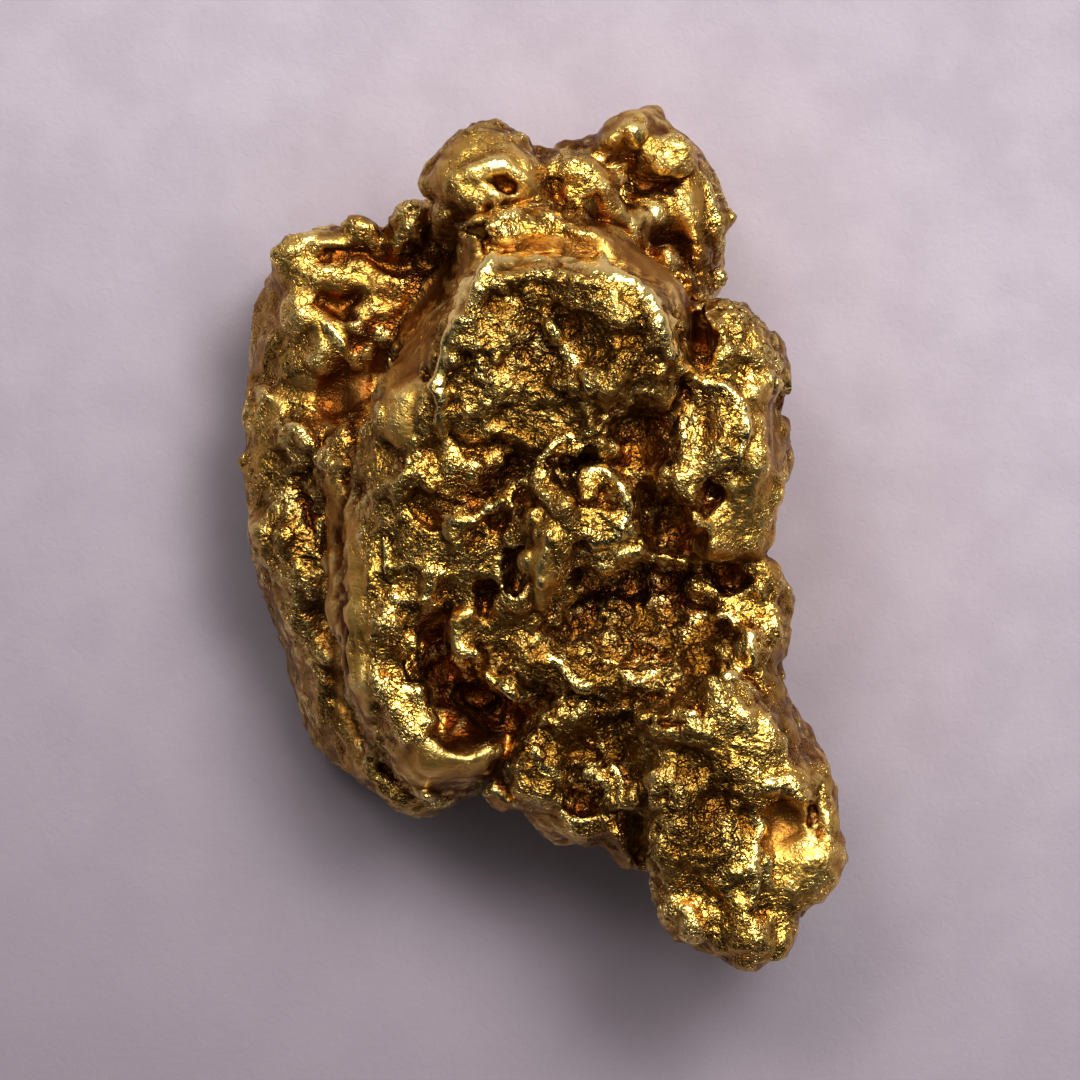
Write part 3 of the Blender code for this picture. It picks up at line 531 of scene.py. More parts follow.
HOLLOWS = (
    Lump("pocket", (-1.2, -1.95, 4.0), (0.62, 0.95, 0.95), turn=20, melt=0.15),
    Lump("pocket deep", (-0.84, -2.25, 3.6), (0.36, 0.6, 1.1), turn=27, melt=0.12),
    Lump("pocket top", (-1.5, -1.45, 4.1), (0.4, 0.42, 0.8), turn=10, melt=0.15),
    Lump("basin", (1.3, -1.1, 4.05), (1.4, 0.95, 1.0), turn=-4, melt=0.12),
    Lump("basin undercut", (1.0, -0.55, 3.35), (0.95, 0.42, 0.5), melt=0.1),
    Lump("basin side pit", (2.55, -0.5, 3.6), (0.48, 0.26, 0.42), turn=-18, melt=0.15),
    Lump("crown dish", (0.15, 2.45, 6.15), (2.0, 1.7, 1.0), melt=0.1),
    Lump("crown dip", (1.15, 2.5, 5.55), (0.6, 0.35, 0.3), turn=-22, melt=0.2),
    Lump("throat", (1.35, 1.15, 4.9), (0.38, 0.7, 0.75), turn=-10, melt=0.12),
    Lump("throat low", (1.75, 0.15, 4.2), (0.35, 0.45, 0.7), turn=10, melt=0.12),
    Lump("brow cave", (0.4, 1.03, 4.75), (0.34, 0.16, 0.5), turn=12, melt=0.06),
    Lump("shoulder eye", (2.18, 2.72, 4.3), (0.12, 0.3, 0.5), turn=4, melt=0.08),
    Lump("shoulder dent", (2.36, 0.66, 4.4), (0.2, 0.18, 0.32), melt=0.12),
    Lump("knob pit", (-0.57, 4.83, 4.45), (0.3, 0.17, 0.32), turn=-30, melt=0.15),
    Lump("knob notch", (-0.95, 4.12, 4.0), (0.36, 0.16, 0.55), turn=38, melt=0.08),
    Lump("lobe hollow high", (-2.4, 3.82, 3.2), (0.65, 0.3, 0.55), turn=8, melt=0.25),
    Lump("lobe hollow mid", (-2.85, 3.3, 3.1), (0.4, 0.26, 0.42), turn=40, melt=0.2),
    Lump("left saddle", (-2.85, 2.0, 3.2), (1.0, 0.42, 0.75), turn=28, melt=0.3),
    Lump("back valley", (1.95, 3.85, 3.3), (0.36, 0.55, 0.5), turn=12, melt=0.3),
    Lump("back crease", (1.45, 4.83, 3.15), (0.45, 0.12, 0.26), turn=-5, melt=0.12),
    Lump("slope cave", (-1.45, 0.2, 4.5), (0.2, 0.32, 0.5), turn=35, melt=0.06),
    Lump("slope pit", (-0.75, 0.72, 4.8), (0.42, 0.17, 0.45), turn=12, melt=0.08),
    Lump("deep cave", (-0.33, -0.5, 4.2), (0.22, 0.42, 0.65), turn=-8, melt=0.08),
    Lump("cave left", (-0.82, -0.76, 4.1), (0.27, 0.24, 0.5), melt=0.08),
    Lump("slope slot", (-0.75, 0.0, 4.6), (0.5, 0.16, 0.5), turn=28, melt=0.08),
    Lump("shelf pit", (0.62, -2.92, 3.8), (0.38, 0.28, 0.45), turn=-20, melt=0.1),
    Lump("shelf hole", (0.58, -3.55, 3.3), (0.36, 0.18, 0.42), turn=-10, melt=0.08),
    Lump("shelf gap", (1.36, -4.27, 3.15), (0.2, 0.55, 0.75), turn=21, melt=0.1),
    Lump("tail valley", (3.4, -4.0, 4.5), (0.6, 0.46, 0.72), turn=-8, melt=0.15),
    Lump("tail slit", (3.75, -3.8, 3.85), (0.07, 0.25, 0.25), turn=-8, melt=0.06),
    Lump("tip dimple", (2.98, -5.08, 4.15), (0.3, 0.2, 0.3), turn=20, melt=0.2),
    Lump("underside hollow", (-0.1, 0.9, -0.2), (1.3, 1.5, 0.8), turn=20, melt=0.4),
    Lump("underside dent", (-2.9, -0.1, -0.1), (0.9, 0.8, 0.7), melt=0.3),
    Lump("right side cave", (3.1, 1.35, 2.35), (0.35, 0.55, 0.3), turn=10, melt=0.1),
    Lump("left side cave", (-4.0, 0.35, 1.1), (0.3, 0.6, 0.28), turn=-4, melt=0.1),
    Lump("tail side dent", (4.05, -3.6, 2.4), (0.3, 0.5, 0.35), melt=0.12),
    Lump("tail under dent", (2.6, -4.7, 1.5), (0.6, 0.7, 0.45), melt=0.2),
    Lump("back side cave", (0.35, 5.35, 1.9), (0.4, 0.3, 0.4), melt=0.1),
    Lump("front cave", (-0.1, -3.7, 1.9), (0.7, 0.4, 0.45), melt=0.15),
)

RIDGES = (
    Ridge("left lobe rim", (
        (-3.45, 3.7, 2.2, 0.2), (-3.1, 4.08, 2.35, 0.22), (-2.5, 4.2, 2.5, 0.2),
        (-1.95, 4.2, 2.7, 0.2),
    )),
    Ridge("lobe fold", (
        (-2.35, 3.1, 2.75, 0.2), (-2.7, 2.85, 2.65, 0.22), (-3.0, 2.5, 2.5, 0.2),
    ), 0.25),
    Ridge("outer fold", (
        (0.1, 5.05, 3.35, 0.26), (0.8, 4.7, 3.4, 0.26), (1.3, 4.15, 3.3, 0.24),
        (1.95, 3.45, 3.1, 0.22),
    )),
    Ridge("back rim", ((2.3, 4.7, 2.6, 0.18), (2.36, 4.1, 2.6, 0.18), (2.34, 3.5, 2.5, 0.16))),
    Ridge("crown crest", ((0.12, 2.95, 5.22, 0.1), (0.25, 2.45, 5.25, 0.11), (0.72, 2.1, 5.2, 0.1))),
    Ridge("brow ledge", (
        (-0.1, 0.75, 4.65, 0.12), (0.1, 1.15, 4.85, 0.12), (0.5, 1.5, 5.0, 0.12), (0.7, 1.6, 5.0, 0.1),
    )),
    Ridge("slope ridge", (
        (-1.25, 0.1, 4.25, 0.1), (-0.85, 0.35, 4.4, 0.1), (-0.5, 0.6, 4.5, 0.1),
        (-0.1, 0.8, 4.55, 0.1),
    ), 0.06),
    Ridge("pocket wall", (
        (-1.25, -1.0, 4.0, 0.12), (-1.05, -1.5, 3.8, 0.14), (-0.65, -1.95, 3.7, 0.14),
        (-0.25, -2.2, 3.55, 0.16), (-0.2, -2.6, 3.3, 0.16),
    ), 0.08),
    Ridge("tooth", ((0.06, 0.0, 4.5, 0.17), (0.02, -0.5, 4.3, 0.15), (0.0, -0.95, 3.95, 0.07)), 0.06),
    Ridge("nose left blob", ((-0.02, 0.75, 4.6, 0.2), (0.2, 0.55, 4.65, 0.2)), 0.08),
    Ridge("nose bulge", ((0.5, 0.25, 4.45, 0.26), (0.85, 0.2, 4.4, 0.22)), 0.08),
    Ridge("nose curl", (
        (0.55, 0.72, 4.65, 0.13), (0.95, 0.8, 4.6, 0.12), (1.12, 0.5, 4.5, 0.11),
        (1.08, 0.15, 4.4, 0.12),
    ), 0.06),
    Ridge("overhang edge", (
        (0.3, -0.15, 4.0, 0.13), (1.0, -0.25, 3.9, 0.13), (1.9, -0.3, 3.8, 0.14),
    ), 0.3),
    Ridge("basin rim", (
        (2.85, -0.3, 3.4, 0.18), (3.12, -0.75, 3.4, 0.17), (3.13, -1.3, 3.4, 0.16),
        (2.95, -1.9, 3.5, 0.16),
    )),
    Ridge("basin curl", (
        (2.1, -1.15, 3.5, 0.12), (2.5, -1.05, 3.6, 0.12), (2.8, -1.3, 3.6, 0.12),
        (2.65, -1.75, 3.6, 0.12),
    ), 0.08),
    Ridge("mid ledge", (
        (0.1, -1.6, 3.5, 0.1), (0.5, -1.95, 3.6, 0.12), (1.3, -2.1, 3.65, 0.12),
        (2.6, -2.15, 3.7, 0.12),
    )),
    Ridge("shelf fold", (
        (-0.17, -2.85, 3.55, 0.12), (0.1, -3.2, 3.6, 0.12), (0.65, -3.52, 3.5, 0.1),
    ), 0.08),
    Ridge("shelf hook", (
        (0.85, -3.2, 3.5, 0.1), (1.0, -3.55, 3.4, 0.1), (0.85, -3.92, 3.2, 0.1),
    ), 0.06),
    Ridge("shelf left fold", (
        (-0.25, -2.9, 3.4, 0.12), (-0.42, -3.3, 3.2, 0.12), (0.0, -3.75, 2.9, 0.12),
    ), 0.08),
    Ridge("tail rim", (
        (3.45, -3.1, 3.8, 0.12), (3.8, -3.45, 3.7, 0.12), (3.9, -3.95, 3.6, 0.12),
    ), 0.08),
    Ridge("left side fold", (
        (-3.75, 2.9, 1.5, 0.2), (-3.95, 1.6, 1.7, 0.18), (-3.85, 0.4, 1.75, 0.2),
    ), 0.15),
    Ridge("left low fold", (
        (-3.75, 0.1, 0.9, 0.2), (-3.55, -1.2, 0.85, 0.2), (-2.9, -2.6, 0.9, 0.2),
    ), 0.15),
    Ridge("right side fold", (
        (3.1, 2.4, 2.6, 0.18), (3.15, 1.5, 2.95, 0.16), (3.05, 0.4, 2.7, 0.18),
    ), 0.12),
    Ridge("tail side fold", (
        (3.6, -2.9, 2.6, 0.2), (3.8, -3.9, 2.9, 0.18), (3.6, -4.9, 2.7, 0.2),
    ), 0.12),
    Ridge("back side fold", ((2.2, 4.9, 1.7, 0.2), (1.5, 5.6, 1.5, 0.2), (0.7, 5.3, 1.3, 0.2)), 0.15),
)

GROOVES = (
    Ridge("flank groove", (
        (-2.75, 1.5, 2.7, 0.14), (-3.0, 0.3, 2.55, 0.1), (-3.05, -1.0, 2.4, 0.1),
        (-2.8, -2.3, 2.25, 0.09),
    )),
    Ridge("flank groove low", (
        (-2.8, -2.3, 2.25, 0.09), (-2.2, -3.25, 2.15, 0.08), (-1.4, -3.62, 2.1, 0.07),
    )),
    Ridge("crown foot groove", (
        (-1.95, 3.1, 3.2, 0.16), (-1.4, 3.75, 3.4, 0.14), (-1.0, 4.0, 3.8, 0.08),
    )),
    Ridge("crown back groove", (
        (-0.7, 4.0, 4.6, 0.06), (0.4, 4.02, 4.55, 0.06), (1.3, 3.75, 4.4, 0.06),
    )),
    Ridge("fold groove", ((0.2, 4.75, 3.7, 0.08), (0.9, 4.4, 3.7, 0.08), (1.35, 3.95, 3.6, 0.08))),
    Ridge("shelf slit", ((-0.3, -2.3, 3.4, 0.07), (-0.45, -2.8, 3.2, 0.1), (-0.55, -3.4, 2.8, 0.1))),
    Ridge("mid slit", ((0.9, -2.6, 3.55, 0.1), (1.5, -2.62, 3.6, 0.11), (2.1, -2.55, 3.7, 0.08))),
    Ridge("spine groove", (
        (2.66, -3.95, 4.2, 0.08), (2.66, -4.4, 4.12, 0.09), (2.66, -4.9, 4.0, 0.07),
    )),
    Ridge("tip crease", ((2.4, -4.95, 3.9, 0.05), (2.62, -5.3, 3.7, 0.06), (2.55, -5.65, 3.4, 0.05))),
    Ridge("shoulder crease", ((3.0, 2.7, 3.6, 0.07), (3.25, 2.1, 3.3, 0.08), (3.2, 1.6, 3.2, 0.06))),
)


class Grit(Enum):
    """How rough the gold's own surface is in a place, from 0, rubbed smooth, to 1, hackly."""

    RUBBED = 0.06
    SOFT = 0.22
    WORN = 0.42
    GRAINY = 0.58
    HACKLY = 0.95


def off_line(points: Numbers, line: Sequence[Point]) -> Numbers:
    """Squared distance in plan from each point to a line, or to a spot where it has one point.

    Args:
        points: Points, one to a row.
        line: The line's own points, as (x, y).

    Returns:
        One squared distance for each point.
    """
    nearest = np.full(len(points), FAR * FAR)
    for start, end in zip(line, line[1:] or line):
        run = np.subtract(end, start)
        offset = points[:, :2] - start
        share = np.clip(offset @ run / max(run.dot(run), TINY), 0, 1)
        nearest = np.minimum(nearest, ((offset - share[:, None] * run) ** 2).sum(axis=1))
    return nearest


@dataclass(frozen=True)
class Patch:
    """A place on the top with its own grit.

    Attributes:
        name: What it is on the nugget.
        at: Its middle, as (x, y).
        size: Its half widths.
        grit: How rough it is.
        turn: Degrees that it is turned about Z.
        edge: Where it has faded out and where it is full, as shares of its half widths.
    """

    name: str
    at: Point
    size: Point
    grit: Grit
    turn: float = 0.0
    edge: tuple[float, float] = (1.15, 0.8)

    def share(self, points: Numbers) -> Numbers:
        """1 within the patch and 0 outside it, with a soft edge.

        Args:
            points: Points, one to a row.

        Returns:
            One share for each point.
        """
        turn = np.radians(self.turn)
        x, y = points[:, 0] - self.at[0], points[:, 1] - self.at[1]
        along = (x * np.cos(turn) + y * np.sin(turn)) / self.size[0]
        across = (y * np.cos(turn) - x * np.sin(turn)) / self.size[1]
        return eased(np.hypot(along, across), *self.edge)


@dataclass(frozen=True)
class Band:
    """A strip of the top with its own grit.

    Attributes:
        name: What it is on the nugget.
        points: The line that it follows, as (x, y).
        width: Distance from the line to its edge.
        grit: How rough it is.
        edge: Where it has faded out and where it is full, as shares of its width.
    """

    name: str
    points: tuple[Point, ...]
    width: float
    grit: Grit
    edge: tuple[float, float] = (1.2, 0.8)

    def share(self, points: Numbers) -> Numbers:
        """1 within the band and 0 outside it, with a soft edge."""
        gap = np.sqrt(off_line(points, self.points))
        return eased(gap, *(self.width * share for share in self.edge))


@dataclass(frozen=True)
class Trace:
    """A fold or a crease drawn on the top of the nugget, or a bead or a pit where it has one point.

    Attributes:
        name: What it is on the nugget.
        points: The line that it follows, as (x, y).
        width: Distance from the line to its foot.
        height: How far it stands up, or lies deep where it is below 0.
        round: Above 2 its foot is softer and its top sharper.
    """

    name: str
    points: tuple[Point, ...]
    width: float
    height: float
    round: float = 2.0

    def relief(self, points: Numbers) -> Numbers:
        """The relief at each point."""
        gap = off_line(points, self.points)
        return self.height * np.clip(1 - gap / self.width**2, 0, None) ** self.round


CROWN_RIM_LEFT = ((-0.69, 3.71), (-1.11, 3.23), (-1.32, 2.47), (-1.41, 2.05), (-1.32, 1.36))

PATCHES = (
    Patch("left saddle", (-2.95, 2.05), (0.95, 0.42), Grit.RUBBED, 28),
    Patch("limb side", (-2.68, -1.2), (0.33, 2.0), Grit.RUBBED, 4),
    Patch("pocket lip", (-1.3, -3.15), (0.8, 0.4), Grit.RUBBED),
    Patch("pocket wall", (-1.75, -1.5), (0.3, 0.5), Grit.WORN),
    Patch("pocket floor", (-0.85, -2.1), (0.35, 0.6), Grit.WORN, 25),
    Patch("tooth", (0.0, -0.5), (0.2, 0.55), Grit.RUBBED),
    Patch("nose", (0.75, 0.35), (0.5, 0.4), Grit.GRAINY),
    Patch("tail tip", (2.9, -5.5), (1.2, 0.65), Grit.WORN, 15),
    Patch("tail hollow", (3.42, -4.0), (0.5, 0.4), Grit.RUBBED, -8),
    Patch("tail top", (2.1, -3.7), (0.8, 0.9), Grit.HACKLY),
    Patch("shelf", (0.6, -3.0), (1.0, 0.7), Grit.HACKLY),
    Patch("basin floor", (0.9, -1.6), (1.7, 0.7), Grit.HACKLY),
    Patch("throat", (1.6, 0.6), (0.5, 1.0), Grit.GRAINY),
    Patch("shoulder", (2.4, 1.5), (0.45, 0.7), Grit.GRAINY),
    Patch("crown", (0.25, 2.4), (1.45, 1.3), Grit.HACKLY),
    Patch("limb top", (-1.8, 0.8), (0.45, 1.5), Grit.GRAINY, 5),
    Patch("flank", (-3.4, 0.4), (0.45, 1.6), Grit.GRAINY),
    Patch("knob", (-0.75, 4.85), (0.8, 0.7), Grit.SOFT),
    Patch("terrace", (-0.1, 4.25), (0.7, 0.3), Grit.GRAINY),
    Patch("crown back slope", (0.3, 3.83), (1.0, 0.15), Grit.RUBBED),
    Patch("back lobe", (1.5, 4.7), (0.8, 1.2), Grit.SOFT, -20),
    Patch("left lobe", (-2.9, 3.4), (1.0, 1.1), Grit.SOFT),
    Band("crown left side", (
        (-1.02, 3.84), (-1.45, 3.3), (-1.72, 2.81), (-1.88, 2.19), (-1.97, 1.5),
    ), 0.24, Grit.RUBBED),
    Band("crown back side", (
        (-0.58, 3.92), (0.25, 3.96), (1.08, 3.84), (1.75, 3.5), (2.05, 3.02), (2.15, 2.6),
    ), 0.16, Grit.RUBBED),
    Band("shoulder side", ((2.95, 1.98), (3.02, 1.36), (2.88, 0.66)), 0.24, Grit.SOFT),
    Band("crown rim left", CROWN_RIM_LEFT, 0.09, Grit.SOFT),
    Band("crown rim back", ((-0.69, 3.71), (0.25, 3.71), (0.8, 3.63)), 0.08, Grit.SOFT),
    Band("crown rim right", ((0.8, 3.63), (1.36, 3.34), (1.66, 2.88), (2.12, 2.12)), 0.09, Grit.SOFT),
    Band("tip flat", ((3.3, -4.75), (3.9, -4.7)), 0.3, Grit.SOFT),
)


def calm_share(points: Numbers) -> Numbers:
    """Near 1 in plan where the gold is rubbed smooth, and 0 where it is worn or rougher.

    Args:
        points: Points, one to a row.

    Returns:
        One share for each point.
    """
    share = np.zeros(len(points))
    for patch in PATCHES:
        calm = 1 - patch.grit.value / Grit.WORN.value
        if calm > 0:
            share = np.maximum(share, patch.share(points) * calm)
    return share


FOLDS = (
    Trace("crown rim left", CROWN_RIM_LEFT, 0.12, 0.12),
    Trace("crown rim back", ((-0.69, 3.71), (-0.24, 3.77), (0.25, 3.71), (0.8, 3.63)), 0.1, 0.08),
    Trace("crown rim right", (
        (0.8, 3.63), (1.36, 3.34), (1.66, 2.88), (1.8, 2.47), (2.12, 2.12),
    ), 0.14, 0.11),
    Trace("crown crest", ((0.08, 2.88), (0.28, 2.6), (0.5, 2.35), (0.69, 2.08)), 0.09, 0.1),
    Trace("crown lump back", ((-0.48, 3.34), (-0.33, 3.05)), 0.1, 0.07),
    Trace("crown lump left", ((-0.94, 2.6), (-0.8, 2.16)), 0.09, 0.07),
    Trace("crown dark back", ((-0.24, 3.43), (0.25, 3.32)), 0.12, -0.07),
    Trace("crown dark right", ((0.66, 2.58), (0.97, 2.4)), 0.1, -0.08),
    Trace("crown dark front", ((-0.58, 1.63), (-0.17, 1.36)), 0.12, -0.06),
    Trace("shoulder rim", (
        (2.12, 2.12), (2.49, 2.08), (2.77, 1.86), (2.81, 1.36), (2.67, 0.97),
    ), 0.1, 0.1),
    Trace("shoulder rim left", ((2.12, 2.12), (2.19, 1.63), (2.05, 1.22)), 0.07, 0.05),
    Trace("shoulder strand", ((3.16, 2.74), (3.32, 2.4), (3.38, 1.91)), 0.06, 0.05),
    Trace("shoulder crease", ((3.06, 2.6), (3.24, 1.91)), 0.05, -0.05),
    Trace("shoulder pit", ((2.35, 0.66),), 0.16, -0.1),
    Trace("limb line", ((-2.12, -0.07), (-2.05, -0.47), (-2.01, -0.86)), 0.07, 0.06),
    Trace("limb cluster", ((-1.97, -0.86), (-1.55, -0.82)), 0.1, 0.08),
    Trace("limb wrinkle", ((-2.73, -0.3), (-2.63, -1.14), (-2.52, -1.97)), 0.07, -0.03),
    Trace("limb wrinkle low", ((-2.55, -0.86), (-2.35, -1.97), (-2.11, -2.8)), 0.06, -0.03),
    Trace("pocket rim", (
        (-1.25, -1.23), (-1.07, -1.55), (-0.82, -1.77), (-0.65, -1.97), (-0.39, -2.15), (-0.11, -2.23),
    ), 0.09, 0.09),
    Trace("slope strand", ((-0.18, 0.86), (0.12, 1.23), (0.72, 1.45)), 0.07, 0.08),
    Trace("slope dark", ((0.12, 1.01), (0.66, 1.05)), 0.1, -0.1),
    Trace("slope ridge", ((-1.3, 0.32), (-1.08, 0.15), (-0.84, 0.35), (-0.57, 0.55)), 0.07, 0.07),
    Trace("tooth keel", ((0.04, 0.04), (0.01, -0.51), (-0.01, -0.93)), 0.09, 0.05),
    Trace("nose ring", (
        (0.48, 0.83), (0.8, 0.94), (1.08, 0.73), (1.14, 0.39), (1.01, 0.08), (0.73, -0.03),
    ), 0.09, 0.1),
    Trace("nose eye", ((0.62, 0.44), (0.94, 0.44)), 0.07, -0.08),
    Trace("overhang", ((0.26, -0.15), (0.96, -0.28), (1.34, -0.24), (1.97, -0.3)), 0.08, 0.03),
    Trace("throat slot", ((1.3, 0.53), (1.3, -0.1)), 0.07, -0.1),
    Trace("throat slot right", ((1.63, 0.04), (1.63, -0.19)), 0.07, -0.08),
    Trace("basin curl", (
        (1.94, -1.41), (2.12, -1.11), (2.53, -1.07), (2.88, -1.34), (2.85, -1.76), (2.47, -1.9),
    ), 0.09, 0.1),
    Trace("basin ledge", ((0.08, -1.62), (0.46, -1.97), (0.8, -2.11)), 0.08, 0.07),
    Trace("basin ledge right", ((0.8, -1.69), (1.36, -1.97), (1.57, -1.86)), 0.08, 0.07),
    Trace("basin side lumps", ((2.95, -0.65), (3.16, -1.0), (3.27, -1.41)), 0.1, 0.05),
    Trace("ledge dark", ((0.73, -2.22), (1.36, -2.27)), 0.08, -0.08),
    Trace("mid slit", ((1.4, -2.51), (1.95, -2.51)), 0.07, -0.1),
    Trace("shelf fold", ((-0.17, -2.85), (0.11, -3.19), (0.65, -3.53)), 0.1, 0.09),
    Trace("shelf pit", ((0.4, -2.94), (0.87, -2.96)), 0.12, -0.07),
    Trace("shelf hook", ((0.8, -2.87), (1.05, -3.24), (1.08, -3.63)), 0.07, 0.07),
    Trace("tail bead", ((3.16, -3.35),), 0.22, 0.08),
    Trace("tail right ridge", ((3.74, -3.23), (3.91, -3.63), (3.93, -4.07)), 0.08, 0.04),
    Trace("tail slit", ((3.66, -3.63), (3.77, -4.02)), 0.06, -0.1),
    Trace("spine", (
        (2.83, -3.75), (3.02, -3.95), (2.89, -4.14), (2.92, -4.53), (2.96, -4.76), (2.87, -4.99),
    ), 0.08, 0.08),
    Trace("spine fork", ((3.02, -4.34), (3.12, -4.72)), 0.07, 0.06),
    Trace("tip dimple", ((2.88, -5.1), (3.08, -5.08)), 0.16, -0.05),
    Trace("left lobe rim", ((-3.49, 3.99), (-3.21, 4.24), (-2.73, 4.35), (-2.17, 4.29)), 0.13, 0.05),
    Trace("left lobe dark low", ((-3.05, 3.35), (-2.7, 3.15)), 0.2, -0.12),
    Trace("left lobe diagonal", ((-3.01, 2.95), (-2.8, 2.67), (-2.59, 2.4)), 0.12, 0.07),
    Trace("left lobe lump", ((-3.35, 2.99),), 0.26, 0.03),
    Trace("left lobe dark", ((-3.0, 3.9), (-2.5, 3.95), (-1.97, 3.71)), 0.2, -0.12),
    Trace("flank cluster", ((-3.46, 1.57), (-3.21, 1.36), (-3.05, 1.01)), 0.13, 0.09),
    Trace("flank line", (
        (-2.69, 1.08), (-2.8, 0.11), (-2.83, -1.14), (-2.66, -2.24), (-2.31, -3.07), (-1.55, -3.7),
    ), 0.08, -0.1),
    Trace("flank recess", ((-3.35, 0.66), (-3.1, 0.11)), 0.11, -0.08),
    Trace("flank curl", ((-3.21, -0.1), (-3.01, -0.3), (-3.05, -0.58)), 0.08, 0.07),
    Trace("terrace lumps", ((-0.58, 4.34), (-0.17, 4.52), (0.25, 4.34), (0.5, 4.06)), 0.1, 0.07),
    Trace("knob lumps", ((-1.0, 4.96), (-0.58, 5.1), (-0.24, 4.89)), 0.13, 0.06),
    Trace("knob pit", ((-0.7, 4.88), (-0.5, 4.78)), 0.13, -0.07),
    Trace("knob notch", ((-1.0, 4.14), (-0.65, 4.13)), 0.09, -0.08),
    Trace("back lump top", ((1.29, 5.51),), 0.24, 0.09),
    Trace("back lump right", ((1.69, 5.12),), 0.22, 0.08),
    Trace("back bump", ((1.5, 4.47),), 0.3, 0.09),
    Trace("back crease", ((1.25, 4.82), (1.79, 4.79)), 0.07, -0.08),
    Trace("back right rim", ((2.4, 4.54), (2.49, 4.06), (2.4, 3.5)), 0.11, 0.04),
)


@dataclass
class GoldField:
    """The nugget's form as a distance field, below 0 inside the gold.

    Attributes:
        step: Spacing of the fine grid.
        coarse: Fine steps in one step of the coarse grid, which finds where the surface is.
        reach: Cells with a coarse value below this are worked out finely.
        spread: How far past its own size a feature is looked for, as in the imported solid.
        lift_from: The height from which noise raises and lowers the features in full.
        rough_from: The fine roughness of the top sets in between these heights.
        margin: Room round the box.
        warps: Noise that bends the form.
        lift: Noise that raises and lowers it.
        crumble: Noise that frays the hollows, ridges and grooves.
        relief: Noise on the surface.
        fine_warp: Fine noise that bends the top where it isn't calm.
        fine_relief: Fine noise on the top where it isn't calm.
        knuckles: Folded noise, which makes rounded knuckles with creases between them.
        crease_level: Share of a knuckle's height that lies below the surface.
        calm_knuckles: Share of the knuckles that is left where the gold is calm.
    """

    step: float = 0.05
    coarse: int = 4
    reach: float = 0.32
    spread: float = 0.42
    lift_from: float = 1.5
    rough_from: tuple[float, float] = (1.3, 2.6)
    margin: float = 0.6
    warps: tuple[Noise, ...] = (Noise(1.3, 0.1, 11), Noise(0.55, 0.06, 23))
    lift: Noise = Noise(1.5, 0.26, 53)
    crumble: Noise = Noise(0.36, 0.13, 61)
    relief: tuple[Noise, ...] = (Noise(1.7, 0.1, 37), Noise(0.75, 0.06, 31))
    fine_warp: Noise = Noise(0.3, 0.07, 29)
    fine_relief: Noise = Noise(0.4, 0.05, 47)
    knuckles: tuple[Noise, ...] = (Noise(0.9, 0.14, 83), Noise(0.5, 0.09, 89))
    crease_level: float = 0.3
    calm_knuckles: float = 0.3

    def combine(
        self,
        total: Numbers,
        places: Places,
        warped: Places,
        features: Sequence[Feature],
        join: Callable[[Numbers, Numbers, float], Numbers],
        crumbs: Numbers | None = None,
    ) -> None:
        """Joins features to the field, or cuts them out, where they can touch it.

        Args:
            total: The field so far, which is changed.
            places: Where its points are.
            warped: Where they are once the noise has bent the form.
            features: What is joined or cut out, in order.
            join: melted or carved.
            crumbs: Noise added to each feature's distance.
        """
        for feature in features:
            low, high = feature.box()
            spread = 2 * feature.melt + self.spread
            near = np.arange(len(total))
            for place, lo, hi in zip(places, low - spread, high + spread):
                along = place[near]
                near = near[(along > lo) & (along < hi)]
            block = feature.distance(*(axis[near] for axis in warped))
            if crumbs is not None:
                block = block + crumbs[near]
            total[near] = join(total[near], block, feature.melt)

    def values(self, places: Places) -> Numbers:
        """The field at each point, given as its x, y and z.

        Args:
            places: Where the points are.

        Returns:
            One value for each point, below 0 inside the gold.
        """
        x, y, z = places
        bent = [
            axis + sum(warp.at(x, y, z, number) for warp in self.warps)
            for number, axis in enumerate(places)
        ]
        bent[2] += self.lift.at(x, y, z) * np.clip(z / self.lift_from, 0, 1)
        rough = (1 - calm_share(np.stack((x, y), axis=1))) * eased(z, *self.rough_from)
        for number in range(3):
            bent[number] += self.fine_warp.at(x, y, z, number) * rough
        crumbs = self.crumble.at(x, y, z)
        warped = tuple(bent)
        total = np.full(x.shape, FAR)
        self.combine(total, places, warped, SLABS + MASSES + BELLIES, melted)
        self.combine(total, places, warped, HOLLOWS, carved, crumbs)
        self.combine(total, places, warped, RIDGES, melted, crumbs)
        self.combine(total, places, warped, GROOVES, carved, crumbs)
        for layer in self.relief:
            total -= layer.at(x, y, z)
        total -= self.fine_relief.at(x, y, z) * rough
        share = self.calm_knuckles + (1 - self.calm_knuckles) * rough
        for layer in self.knuckles:
            total -= (np.abs(layer.at(x, y, z)) - layer.height * self.crease_level) * share
        return np.maximum(total, -z)

    def sampled(self, low: Sequence[float], high: Sequence[float]) -> tuple[Numbers, list[Numbers]]:
        """The field on a fine grid over a box. Away from the surface it is only roughly right.

        Args:
            low: The box's lowest corner.
            high: The box's highest corner.

        Returns:
            The field, and the grid's places along each axis.
        """
        wide = self.step * self.coarse
        rough_axes = [np.arange(lo - self.margin, hi + self.margin, wide) for lo, hi in zip(low, high)]
        shape = [len(axis) for axis in rough_axes]
        grid = np.meshgrid(*rough_axes, indexing="ij")
        rough = self.values(tuple(axis.ravel() for axis in grid)).reshape(shape)
        nearest = np.abs(cell_corners(rough)).min(axis=0)
        field, near = rough[:-1, :-1, :-1], nearest < self.reach
        for axis in range(3):
            field = np.repeat(field, self.coarse, axis)
            near = np.repeat(near, self.coarse, axis)
        axes = [axis[0] + self.step * np.arange(size) for axis, size in zip(rough_axes, field.shape)]
        spots = np.nonzero(near)
        field[near] = self.values(tuple(axis[spot] for axis, spot in zip(axes, spots)))
        return field, axes


# A grid cell's corners. The bits of a corner's number are its place along each axis.
CORNERS = range(8)


